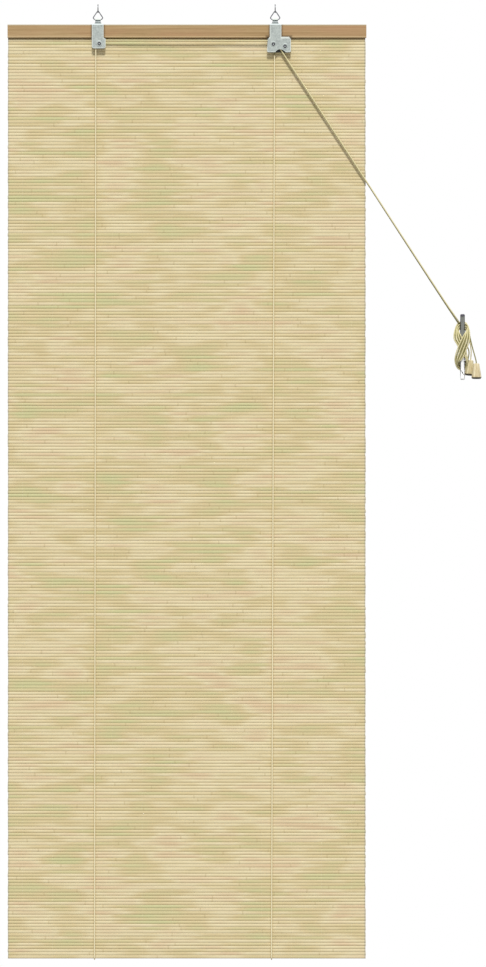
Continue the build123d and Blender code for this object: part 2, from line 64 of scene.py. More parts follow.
MM = 0.001
Span = tuple[float, float]
Point = tuple[float, float, float]
Quad = tuple[float, float, float, float]
Colour = Quad
Band = tuple[float, float, Colour]
Piece = bpy.types.Object
Material = bpy.types.Material
Node = bpy.types.Node
Socket = bpy.types.NodeSocket

ORIGIN: Point = (0.0, 0.0, 0.0)
WHITE: Colour = (1.0, 1.0, 1.0, 1.0)


def rgb(red: float, green: float, blue: float) -> Colour:
    """Turn a screen colour into the linear colour that a shader takes.

    Args:
        red: Red from 0 to 255.
        green: Green from 0 to 255.
        blue: Blue from 0 to 255.

    Returns:
        The linear colour with full opacity.
    """
    parts = [c / 255.0 for c in (red, green, blue)]
    linear = [c / 12.92 if c <= 0.04045 else ((c + 0.055) / 1.055) ** 2.4 for c in parts]
    return (linear[0], linear[1], linear[2], 1.0)


def metres(point: Point) -> Point:
    """Turn a point in mm into metres."""
    return (point[0] * MM, point[1] * MM, point[2] * MM)


class Body(Enum):
    """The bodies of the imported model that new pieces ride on."""

    HEADRAIL = "headrail"
    BOTTOM = "bottom"


class Slot(Enum):
    """The record's material slots."""

    BAMBOO = "bamboo"
    WARP = "warp_cotton"
    CORD = "cord_cotton"
    CLEAT = "cleat_metal"
    WOOD = "turned_wood"


class Lay(Enum):
    """How a cord lies."""

    TAUT = "taut"
    COILED = "coiled"
    HANGING = "hanging"


class FarEnd(Enum):
    """What a cord's far end leads to."""

    OBJECT = "object"
    FITTING = "fitting"
    BARE = "bare"


# Finishes


class Nodes:
    """A node tree, with short ways to add nodes and join them."""

    def __init__(self, tree: bpy.types.NodeTree) -> None:
        """Work on one node tree."""
        self.tree = tree

    def add(self, kind: str, **settings: object) -> Node:
        """Add a node and set its properties.

        Args:
            kind: The node's type name after ShaderNode.
            **settings: Properties of the node.

        Returns:
            The new node.
        """
        node = self.tree.nodes.new("ShaderNode" + kind)
        for key, value in settings.items():
            setattr(node, key, value)
        return node

    def put(self, socket: Socket, value: object) -> None:
        """Fill one input.

        Args:
            socket: The input.
            value: A socket to link or a plain value to set.
        """
        if isinstance(value, Socket):
            self.tree.links.new(value, socket)
        else:
            socket.default_value = value

    def feed(self, node: Node, *values: object, **inputs: object) -> Node:
        """Fill a node's inputs in order or by name, with _ for a space.

        Args:
            node: The node that takes the inputs.
            *values: Sockets to link or plain values to set, from the first input on.
            **inputs: The same by name.

        Returns:
            The same node.
        """
        for socket, value in zip(node.inputs, values):
            self.put(socket, value)
        for key, value in inputs.items():
            self.put(node.inputs[key.replace("_", " ")], value)
        return node

    def maths(self, operation: str, *values: object) -> Socket:
        """The result of a Math node on numbers or sockets."""
        return self.feed(self.add("Math", operation=operation), *values).outputs["Value"]


class ShaderSheet(Nodes):
    """A material with one Principled shader, and short ways to colour it."""

    # A colour Mix node's inputs for its factor and its two colours, and its result
    mix_inputs = (0, 6, 7)
    mix_output = 2
    # Where a level band fades out and is full, in shares of its reach, and how much it covers
    band_fade = (1.3, 0.8)
    band_share = 0.85

    def __init__(self, name: str, roughness: float, metallic: float = 0.0) -> None:
        """Start a material.

        Args:
            name: The material's name.
            roughness: The shader's roughness.
            metallic: The shader's metallic value.
        """
        self.material = bpy.data.materials.new(name)
        self.material.use_nodes = True
        super().__init__(self.material.node_tree)
        self.shader = self.tree.nodes["Principled BSDF"]
        self.feed(self.shader, Roughness=roughness, Metallic=metallic)

    def coordinates(self, output: str = "Object") -> Socket:
        """The texture coordinates of the piece itself."""
        return self.add("TexCoord").outputs[output]

    def apart(self, vector: Socket | None = None) -> tuple[Socket, ...]:
        """The X, Y and Z of coordinates, or else of the Object coordinates."""
        node = self.feed(self.add("SeparateXYZ"), vector or self.coordinates())
        return tuple(node.outputs)

    def stretched(
        self, scale: Point, shift: Point = ORIGIN, turn: float = 0.0, vector: Socket | None = None
    ) -> Socket:
        """Coordinates in cells per metre, turned about Y in degrees and then moved."""
        node = self.feed(self.add("Mapping"), vector or self.coordinates())
        turned = (0.0, math.radians(turn), 0.0)
        return self.feed(node, Location=shift, Rotation=turned, Scale=scale).outputs["Vector"]

    def noise(self, vector: Socket, detail: float, rough: float = 0.5) -> Socket:
        """Cloudy noise from 0 to 1, with so many finer layers of such strength."""
        node = self.feed(self.add("TexNoise"), vector)
        return self.feed(node, Scale=1.0, Detail=detail, Roughness=rough).outputs["Fac"]

    def cloud(
        self, scale: Point, detail: float = 2.0, rough: float = 0.5, shift: Point = ORIGIN
    ) -> Socket:
        """Noise in the piece's own space, with so many cells per metre."""
        return self.noise(self.stretched(scale, shift), detail, rough)

    def times(self, first: object, second: object) -> Socket:
        """Two values multiplied."""
        return self.maths("MULTIPLY", first, second)

    def plus(self, first: object, second: object) -> Socket:
        """Two values added."""
        return self.maths("ADD", first, second)

    def minus(self, first: object, second: object) -> Socket:
        """A value less another."""
        return self.maths("SUBTRACT", first, second)

    def off(self, value: object, middle: object) -> Socket:
        """How far a value lies from a middle, either way."""
        return self.maths("ABSOLUTE", self.minus(value, middle))

    def fade(self, value: Socket, none_at: float, full_at: float) -> Socket:
        """A share that rises evenly from 0 to 1 between two values."""
        node = self.add("MapRange")
        return self.feed(node, Value=value, From_Min=none_at, From_Max=full_at).outputs["Result"]

    def ramp(self, factor: Socket, *stops: tuple[float, Colour]) -> Socket:
        """Change a colour with a factor.

        Args:
            factor: Where on the ramp to read.
            *stops: Places from 0 to 1 with their colours.

        Returns:
            The colour.
        """
        node = self.add("ValToRGB")
        band = node.color_ramp
        while len(band.elements) < len(stops):
            band.elements.new(0.5)
        for element, (place, colour) in zip(band.elements, stops):
            element.position = place
            element.color = colour
        return self.feed(node, Fac=factor).outputs["Color"]

    def mixed(self, factor: object, first: object, second: object, mode: str = "MIX") -> Socket:
        """Mix two colours.

        Args:
            factor: How much of the second.
            first: The first colour or socket.
            second: The second colour or socket.
            mode: The blend mode.

        Returns:
            The mixed colour.
        """
        node = self.add("Mix", data_type="RGBA", blend_type=mode)
        for number, value in zip(self.mix_inputs, (factor, first, second)):
            self.put(node.inputs[number], value)
        return node.outputs[self.mix_output]

    def laid(self, ground: Socket, tint: Colour, mask: Socket, share: float) -> Socket:
        """A tint laid over a ground where a mask is 1, covering a share of it."""
        return self.mixed(self.times(mask, share), ground, tint)

    def flecked(
        self, ground: Socket, dark: Colour, noise: Socket, reach: Span, share: float
    ) -> Socket:
        """A ground with dark flecks, which are full and gone at two values of a noise."""
        flecks = self.ramp(noise, (reach[0], dark), (reach[1], WHITE))
        return self.mixed(share, ground, flecks, "MULTIPLY")

    def within(self, x: Socket, z: Socket, box: Quad) -> Socket:
        """Measure how deep a place lies inside an upright rectangle, seen from the front.

        Args:
            x: The place's X.
            z: The place's Z.
            box: The rectangle's left, right, bottom and top, in metres.

        Returns:
            The distance to its nearest side, positive inside.
        """
        left, right, bottom, top = box
        across = self.maths("MINIMUM", self.minus(x, left), self.minus(right, x))
        upright = self.maths("MINIMUM", self.minus(z, bottom), self.minus(top, z))
        return self.maths("MINIMUM", across, upright)

    def banded(self, ground: Socket, painted_bands: Sequence[Band]) -> Socket:
        """Lay level bands of lighter and darker colour over a ground, mostly painted highlight and
        painted shade.

        Args:
            ground: The colour beneath.
            painted_bands: The bands' heights, reaches and tints, each over the ones before.

        Returns:
            The banded colour.
        """
        z = self.apart()[2]
        fade_out, fade_in = self.band_fade
        for middle, reach, tint in painted_bands:
            mask = self.fade(self.off(z, middle), reach * fade_out, reach * fade_in)
            ground = self.laid(ground, tint, mask, self.band_share)
        return ground

    def finished(
        self, colour: Socket, height: Socket, bump: float, strength: float = 0.5
    ) -> Material:
        """Give the surface its colour and its bump.

        Args:
            colour: The surface's colour.
            height: The bump's height from 0 to 1.
            bump: What a height of 1 stands for, in metres.
            strength: The bump's strength.

        Returns:
            The material.
        """
        node = self.feed(self.add("Bump"), Height=height, Distance=bump, Strength=strength)
        self.feed(self.shader, Base_Color=colour, Normal=node.outputs["Normal"])
        return self.material


@dataclass(frozen=True)
class SplitBamboo:
    """Dry split bamboo: each reed has its own tint, which drifts along it. Sizes in metres."""

    pale: Colour = rgb(228, 214, 173)
    straw: Colour = rgb(217, 199, 152)
    pink: Colour = rgb(221, 197, 158)
    green: Colour = rgb(206, 202, 150)
    dark: Colour = rgb(180, 160, 112)
    # Grey for the painted shade on the reeds' cut ends
    end_shade: Colour = rgb(158, 158, 146)
    fibre: Colour = (0.86, 0.84, 0.78, 1.0)
    # Painted shadow under the headrail: its tint, height, reach and full share
    shadow_tint: Colour = rgb(116, 80, 14)
    shadow_z: float = -0.01265
    shadow_reach: float = 0.00135
    shadow_full: float = 0.55
    cut_end: float = 0.29675
    cut_shift: float = 0.00055
    # The lift cords' lines, and the reach of the painted shade along them
    cord_lines: tuple[Quad, ...] = (
        (-0.1524, -0.0240, -0.1546, -1.52865),
        (0.1464, -0.0400, 0.1414, -1.52865),
    )
    cord_shade_reach: float = 0.0034
    cord_shade_full: float = 0.5
    # Cells of drifting tint in a metre, and the cells between the darkest and the palest reed
    drift: float = 7.0
    drift_apart: Span = (91.0, 37.0)
    drift_share: float = 0.55
    # Knuckles in a metre, the cells between those reeds, and a knuckle's part of a cell
    knuckles: float = 2.6
    knuckles_apart: float = 53.0
    knuckle_width: float = 0.006
    tone_name: str = "reed_tone"

    def material(self) -> Material:
        """Lay the cane's marks and its painted shade over its tint.

        Returns:
            The bamboo.
        """
        sheet = ShaderSheet("split_bamboo", roughness=0.55)
        tone = sheet.add("Attribute", attribute_name=self.tone_name).outputs["Fac"]
        x, _, z = sheet.apart()
        fibre = sheet.cloud((14.0, 700.0, 900.0), detail=3.0, rough=0.65)
        cane = sheet.flecked(self.tinted(sheet, tone, x), self.fibre, fibre, (0.3, 0.6), share=0.75)
        # Knuckles of the cane: a thin darker line across a reed here and there
        cell = sheet.plus(sheet.times(x, self.knuckles), sheet.times(tone, self.knuckles_apart))
        knuckle = sheet.maths("LESS_THAN", sheet.maths("FRACT", cell), self.knuckle_width)
        cane = sheet.laid(cane, self.dark, knuckle, share=0.35)
        # Cut ends, greyed and darkened as painted shade
        end = sheet.maths("GREATER_THAN", sheet.off(x, -self.cut_shift), self.cut_end)
        cane = sheet.laid(cane, self.end_shade, end, share=0.4)
        # Painted shade down the mat on both sides of each lift cord
        for x_top, z_top, x_foot, z_foot in self.cord_lines:
            slope = (x_foot - x_top) / (z_foot - z_top)
            line = sheet.plus(sheet.times(z, slope), x_top - z_top * slope)
            cord_shade = sheet.fade(sheet.off(x, line), self.cord_shade_reach, self.cord_shade_reach * self.cord_shade_full)
            cane = sheet.laid(cane, self.dark, cord_shade, share=0.42)
        # Painted shadow in the slot straight under the headrail
        full_at = self.shadow_reach * self.shadow_full
        rail_shadow = sheet.fade(sheet.off(z, self.shadow_z), self.shadow_reach, full_at)
        cane = sheet.laid(cane, self.shadow_tint, rail_shadow, share=0.85)
        return sheet.finished(cane, fibre, bump=0.00018, strength=0.6)

    def tinted(self, sheet: ShaderSheet, tone: Socket, x: Socket) -> Socket:
        """Tint each reed by its own tone and let patches drift over several.

        Args:
            sheet: The material.
            tone: The reed's own number from 0 to 1.
            x: The place along the reed.

        Returns:
            The cane's colour.
        """
        y_apart, z_apart = self.drift_apart
        place = sheet.feed(
            sheet.add("CombineXYZ"),
            X=sheet.times(x, self.drift),
            Y=sheet.times(tone, y_apart),
            Z=sheet.times(tone, z_apart),
        )
        own = sheet.noise(place.outputs["Vector"], detail=2.0, rough=0.6)
        patch = sheet.cloud((13.0, 40.0, 26.0), detail=1.0, shift=(5.0, 2.0, 9.0))
        shares = sheet.times(own, self.drift_share), sheet.times(patch, 1.0 - self.drift_share)
        stops = (0.34, self.green), (0.46, self.straw), (0.54, self.pale), (0.66, self.pink)
        return sheet.ramp(sheet.plus(*shares), *stops)


@dataclass(frozen=True)
class PlanedWood:
    """Planed wood with long streaks along X and soft patches of tint. Sizes in metres."""

    name: str
    light: Colour
    middle: Colour
    dark: Colour
    warm: Colour
    # Lighter bands along the edges: a painted highlight on the top edge, and a lighter band along
    # the lower edge
    edges: tuple[Band, ...] = ()
    # Boxes round which painted shadow lies on the rail, with its tint and reach
    shadow_boxes: tuple[Quad, ...] = ()
    pore: Colour = (0.7, 0.66, 0.6, 1.0)
    shadow_tint: Colour = rgb(96, 72, 42)
    shadow_reach: float = 0.0036
    waver: float = 2.4
    warm_above: float = 0.42

    def material(self) -> Material:
        """Lay patches, lighter edges and painted shadow round the brackets over the streaks.

        Returns:
            The wood.
        """
        sheet = ShaderSheet(self.name, roughness=0.5)
        streak = sheet.feed(
            sheet.add("TexNoise", noise_dimensions="4D"),
            Vector=sheet.stretched((5.0, 260.0, 330.0)),
            W=sheet.times(sheet.cloud((2.0, 10.0, 12.0)), self.waver),
            Scale=1.0,
            Detail=4.0,
            Roughness=0.62,
        ).outputs["Fac"]
        wood = sheet.ramp(streak, (0.3, self.dark), (0.5, self.middle), (0.68, self.light))
        patch = sheet.cloud((11.0, 30.0, 60.0), detail=1.0, shift=(3.0, 1.0, 7.0))
        wood = sheet.laid(wood, self.warm, sheet.minus(patch, self.warm_above), share=1.6)
        # Painted highlight on the top edge, and a lighter band along the lower edge
        wood = sheet.banded(wood, self.edges)
        # Painted shadow on the rail round the brackets' plates
        x, _, z = sheet.apart()
        for box in self.shadow_boxes:
            near = sheet.fade(sheet.within(x, z, box), -self.shadow_reach, 0.0)
            wood = sheet.laid(wood, self.shadow_tint, near, share=0.85)
        pores = sheet.cloud((60.0, 1500.0, 1500.0), rough=0.7)
        wood = sheet.flecked(wood, self.pore, pores, (0.35, 0.5), share=0.35)
        return sheet.finished(wood, pores, bump=0.00012)


@dataclass(frozen=True)
class TwistedCotton:
    """A cord of twisted strands. It reads the cord's own UV map, in metres along it."""

    name: str = "cream_cotton"
    crest: Colour = rgb(254, 243, 205)
    trough: Colour = rgb(226, 211, 163)
    fleck: Colour = (0.85, 0.83, 0.78, 1.0)
    lay_length: float = 0.0066
    strands: int = 3
    fuzz_height: float = 0.3

    def material(self) -> Material:
        """Wind the strands round the cord.

        Returns:
            The cotton.
        """
        sheet = ShaderSheet(self.name, roughness=0.85)
        along, around, _ = sheet.apart(sheet.coordinates("UV"))
        lines = sheet.times(along, self.strands / self.lay_length)
        phase = sheet.times(sheet.plus(lines, sheet.times(around, float(self.strands))), math.pi)
        strand = sheet.maths("ABSOLUTE", sheet.maths("SINE", phase))
        fuzz = sheet.cloud((2600.0, 2600.0, 2600.0), rough=0.7)
        cotton = sheet.ramp(strand, (0.0, self.trough), (0.55, self.crest))
        cotton = sheet.flecked(cotton, self.fleck, fuzz, (0.3, 0.6), share=0.6)
        height = sheet.plus(strand, sheet.times(fuzz, self.fuzz_height))
        return sheet.finished(cotton, height, bump=0.00025, strength=0.8)


@dataclass(frozen=True)
class GalvanisedSheet:
    """Galvanised sheet with a faint spangle and painted highlights along its rims. Sizes in metres.
    """

    name: str
    plates: tuple[Quad, Quad]
    light: Colour = rgb(181, 188, 183)
    grey: Colour = rgb(153, 160, 157)
    # The rims' painted highlight and the cheek's painted shade
    rim: Colour = rgb(214, 219, 212)
    shaded: Colour = rgb(40, 40, 36)
    rim_highlight_width: float = 0.0014
    rim_highlight_full: float = 0.4
    inside: Span = (-0.0080, -0.0075)
    below: Span = (-0.011, -0.012)
    spangle_share: float = 0.35
    # Painted shade and painted highlight in level bands across the lug's curl, its bend and the
    # plate's top edge
    painted_bands: tuple[Band, ...] = (
        (0.0179, 0.0006, rgb(104, 112, 116)),
        (0.0160, 0.0009, rgb(222, 228, 228)),
        (0.0141, 0.0007, rgb(80, 86, 90)),
        (0.0112, 0.0011, rgb(212, 220, 220)),
    )

    def material(self) -> Material:
        """Lay painted highlights on the rims, painted bands across the folds and painted shade on
        the cheek over the spangle.

        Returns:
            The sheet metal.
        """
        sheet = ShaderSheet(self.name, roughness=0.6, metallic=0.55)
        cells = sheet.add("TexVoronoi")
        sheet.feed(cells, Vector=sheet.stretched((420.0, 420.0, 420.0)), Scale=1.0)
        cloud = sheet.cloud((130.0, 130.0, 130.0), detail=3.0, rough=0.6)
        spangle = sheet.plus(
            sheet.times(cells.outputs["Distance"], self.spangle_share),
            sheet.times(cloud, 1.0 - self.spangle_share),
        )
        face = sheet.ramp(spangle, (0.3, self.grey), (0.62, self.light))
        x, y, z = sheet.apart()
        # Painted highlights along the plates' rims
        depth = sheet.maths("MAXIMUM", *(sheet.within(x, z, plate) for plate in self.plates))
        rim_lit = sheet.fade(depth, self.rim_highlight_width, self.rim_highlight_width * self.rim_highlight_full)
        face = sheet.banded(sheet.laid(face, self.rim, rim_lit, share=0.85), self.painted_bands)
        # Painted shade on the cheek behind the wheels, inside the housing
        cheek_shade = sheet.times(sheet.fade(y, *self.inside), sheet.fade(z, *self.below))
        face = sheet.laid(face, self.shaded, cheek_shade, share=0.9)
        dull = sheet.feed(sheet.add("MapRange"), Value=cloud, To_Min=0.55, To_Max=0.7)
        sheet.feed(sheet.shader, Roughness=dull.outputs["Result"])
        return sheet.finished(face, spangle, bump=0.00008)


@dataclass(frozen=True)
class Mottled:
    """A plain mottled surface: tying thread, moulded nylon or plated steel."""

    name: str
    light: Colour
    dark: Colour
    roughness: float
    metallic: float = 0.9
    cells: Point = (300.0, 300.0, 300.0)
    detail: float = 4.0
    rough: float = 0.65
    reach: Span = (0.32, 0.64)
    painted_bands: tuple[Band, ...] = ()
    marks: Point = (240.0, 240.0, 3200.0)
    marks_detail: float = 2.0
    marks_rough: float = 0.5
    bump: float = 0.00004
    strength: float = 0.5

    def material(self) -> Material:
        """Mottle the surface, lay its bands of painted highlight and shade, and mark it.

        Returns:
            The material.
        """
        sheet = ShaderSheet(self.name, self.roughness, self.metallic)
        cloud = sheet.cloud(self.cells, self.detail, self.rough)
        dark_at, light_at = self.reach
        colour = sheet.ramp(cloud, (dark_at, self.dark), (light_at, self.light))
        marks = sheet.cloud(self.marks, self.marks_detail, self.marks_rough)
        return sheet.finished(sheet.banded(colour, self.painted_bands), marks, self.bump, self.strength)


@dataclass(frozen=True)
class CleatPlating:
    """Plated metal, bright on the lower horn, with painted shade on the upper one. Sizes in metres.
    """

    middle_z: float
    bright: Colour = rgb(231, 231, 229)
    # The upper horn's grey and its tip's dark are painted shade
    grey: Colour = rgb(132, 134, 128)
    tip_shade: Colour = rgb(70, 68, 76)
    fleck: Colour = (0.84, 0.84, 0.86, 1.0)
    shading_span: Span = (-0.012, 0.006)
    tip_shading: Span = (0.0490, 0.0525)

    def material(self) -> Material:
        """Paint shade onto the plating upwards, darkest at the upper horn's tip.

        Returns:
            The plating.
        """
        sheet = ShaderSheet("cleat_plating", roughness=0.5, metallic=0.8)
        height = sheet.minus(sheet.apart()[2], self.middle_z)
        cloud = sheet.cloud((260.0, 260.0, 140.0), detail=3.0, rough=0.6)
        plate = sheet.mixed(sheet.fade(height, *self.shading_span), self.bright, self.grey)
        plate = sheet.mixed(sheet.fade(height, *self.tip_shading), plate, self.tip_shade)
        plate = sheet.flecked(plate, self.fleck, cloud, (0.3, 0.62), share=0.8)
        return sheet.finished(plate, cloud, bump=0.00006)


@dataclass(frozen=True)
class PinHead:
    """A riveted pin: a dark ring round a bright middle."""

    name: str
    x: float
    z: float
    radius: float = 0.003
    bright: Colour = rgb(172, 176, 176)
    dark: Colour = rgb(66, 66, 70)

    def material(self) -> Material:
        """Ring the pin's head round its axis.

        Returns:
            The pin's steel.
        """
        sheet = ShaderSheet(self.name, roughness=0.4, metallic=0.85)
        centred = sheet.stretched((1.0, 0.0, 1.0), shift=(-self.x, 0.0, -self.z))
        out = sheet.feed(sheet.add("VectorMath", operation="LENGTH"), centred)
        share = sheet.times(out.outputs["Value"], 1 / self.radius)
        stops = (0.2, self.bright), (0.36, self.dark), (0.86, self.dark), (0.97, self.bright)
        scuff = sheet.cloud((900.0, 900.0, 900.0), detail=3.0)
        return sheet.finished(sheet.ramp(share, *stops), scuff, bump=0.00006, strength=0.6)


@dataclass(frozen=True)
class TurnedWood:
    """Pale turned wood with grain along the tassel, fine lathe rings and painted shade round its
    foot. Sizes in metres.
    """

    name: str
    top: Point
    lean: float
    length: float
    light: Colour
    dark: Colour
    # Painted shade round the underside of the rounded foot: its colour, height and blur
    foot: Colour = rgb(40, 32, 20)
    foot_shade_height: float = 0.0031
    foot_shade_blur: float = 0.0004

    def material(self) -> Material:
        """Draw the grain, the rings and the foot's painted shade in the tassel's own upright space.

        Returns:
            The wood.
        """
        sheet = ShaderSheet(self.name, roughness=0.42)
        slope = math.radians(self.lean)
        down = (
            -(self.top[0] * math.cos(slope) - self.top[2] * math.sin(slope)),
            -self.top[1],
            -(self.top[0] * math.sin(slope) + self.top[2] * math.cos(slope)),
        )
        upright = sheet.stretched((1.0, 1.0, 1.0), shift=down, turn=-self.lean)
        drawn = sheet.stretched((250.0, 250.0, 22.0), vector=upright)
        turned = sheet.stretched((12.0, 12.0, 1500.0), vector=upright)
        grain = sheet.noise(drawn, detail=4.0, rough=0.6)
        rings = sheet.noise(turned, detail=1.0)
        wood = sheet.ramp(grain, (0.33, self.dark), (0.6, self.light))
        # Painted shade round the foot
        foot_top = self.foot_shade_height - self.length
        z = sheet.apart(upright)[2]
        foot = sheet.fade(z, foot_top + self.foot_shade_blur, foot_top - self.foot_shade_blur)
        return sheet.finished(sheet.laid(wood, self.foot, foot, share=0.95), rings, bump=0.00007)


# Modelling by operator


class Bench:
    """The few steps that every new piece is modelled with."""

    @staticmethod
    def take(*pieces: Piece) -> None:
        """Leave edit mode and select some pieces alone, or none.

        Args:
            *pieces: The pieces, the first of which becomes the active one.
        """
        if bpy.context.object and bpy.context.object.mode != "OBJECT":
            bpy.ops.object.mode_set(mode="OBJECT")
        bpy.ops.object.select_all(action="DESELECT")
        for piece in pieces:
            piece.select_set(True)
        if pieces:
            bpy.context.view_layer.objects.active = pieces[0]

    @staticmethod
    def adopt(name: str) -> Piece:
        """Name the object that was just added.

        Args:
            name: Its name.

        Returns:
            The object.
        """
        piece = bpy.context.object
        piece.name = name
        piece.data.name = name
        return piece

    @staticmethod
    def settle(piece: Piece) -> None:
        """Put an object's place, turn and size into its mesh."""
        Bench.take(piece)
        bpy.ops.object.transform_apply(location=True, rotation=True, scale=True)

    @staticmethod
    def pick_edges(piece: Piece, wanted: Callable[[Vector, Vector], bool]) -> None:
        """Enter edit mode and select edges by the places of their ends.

        Args:
            piece: The object to edit.
            wanted: Says whether an edge between two points is selected.
        """
        bpy.context.view_layer.objects.active = piece
        if piece.mode != "EDIT":
            bpy.ops.object.mode_set(mode="EDIT")
        bpy.ops.mesh.select_mode(type="EDGE")
        bpy.ops.mesh.select_all(action="DESELECT")
        shape = bmesh.from_edit_mesh(piece.data)
        for edge in shape.edges:
            edge.select = wanted(edge.verts[0].co, edge.verts[1].co)
        shape.select_flush_mode()
        bmesh.update_edit_mesh(piece.data)

    @staticmethod
    def place(name: str, data: bpy.types.ID) -> Piece:
        """Put a mesh or a curve into the scene.

        Args:
            name: The piece's name.
            data: Its mesh or curve.

        Returns:
            The piece.
        """
        piece = bpy.data.objects.new(name, data)
        bpy.context.scene.collection.objects.link(piece)
        return piece

    @staticmethod
    def copy_mesh(pattern: Piece, name: str, places: np.ndarray) -> Piece:
        """Copy a modelled piece with its own mesh and its own points.

        Args:
            pattern: The piece to copy.
            name: The copy's name.
            places: The copy's points, one row each.

        Returns:
            The copy.
        """
        mesh = pattern.data.copy()
        mesh.name = name
        mesh.vertices.foreach_set("co", places.astype(np.float32).ravel())
        mesh.update()
        return Bench.place(name, mesh)

    @staticmethod
    def points_of(piece: Piece) -> np.ndarray:
        """Read the points of a piece's mesh.

        Args:
            piece: The piece.

        Returns:
            The points, one row each.
        """
        places = np.zeros(len(piece.data.vertices) * 3, np.float32)
        piece.data.vertices.foreach_get("co", places)
        return places.reshape(-1, 3).astype(float)

    @staticmethod
    def join(pieces: Sequence[Piece], name: str) -> Piece:
        """Join several pieces into one.

        Args:
            pieces: The pieces.
            name: The joined piece's name.

        Returns:
            The joined piece.
        """
        Bench.take(*pieces)
        bpy.ops.object.join()
        return Bench.adopt(name)

    @staticmethod
    def smooth(piece: Piece, degrees: float) -> None:
        """Shade a piece smooth where its faces meet at less than an angle."""
        Bench.take(piece)
        bpy.ops.object.shade_smooth_by_angle(angle=math.radians(degrees))


def dress(piece: Piece, material: Material) -> None:
    """Give a piece one material in place of what it has."""
    piece.data.materials.clear()
    piece.data.materials.append(material)


def present(piece: Piece, material: Material, slot: Slot, body: Body, *replaced: str) -> None:
    """Dress a new piece, hide the CAD pieces that it replaces, hang it on the body that carries it
    and log its faces.

    Args:
        piece: The new piece.
        material: Its material.
        slot: The record's slot that the material belongs to; not used.
        body: The body that it rides on.
        *replaced: The CAD pieces that it stands for.
    """
    dress(piece, material)
    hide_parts(*replaced)
    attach(piece, body.value)
    log.info("%s: %d faces", piece.name, len(piece.data.polygons))


# Sub-assemblies


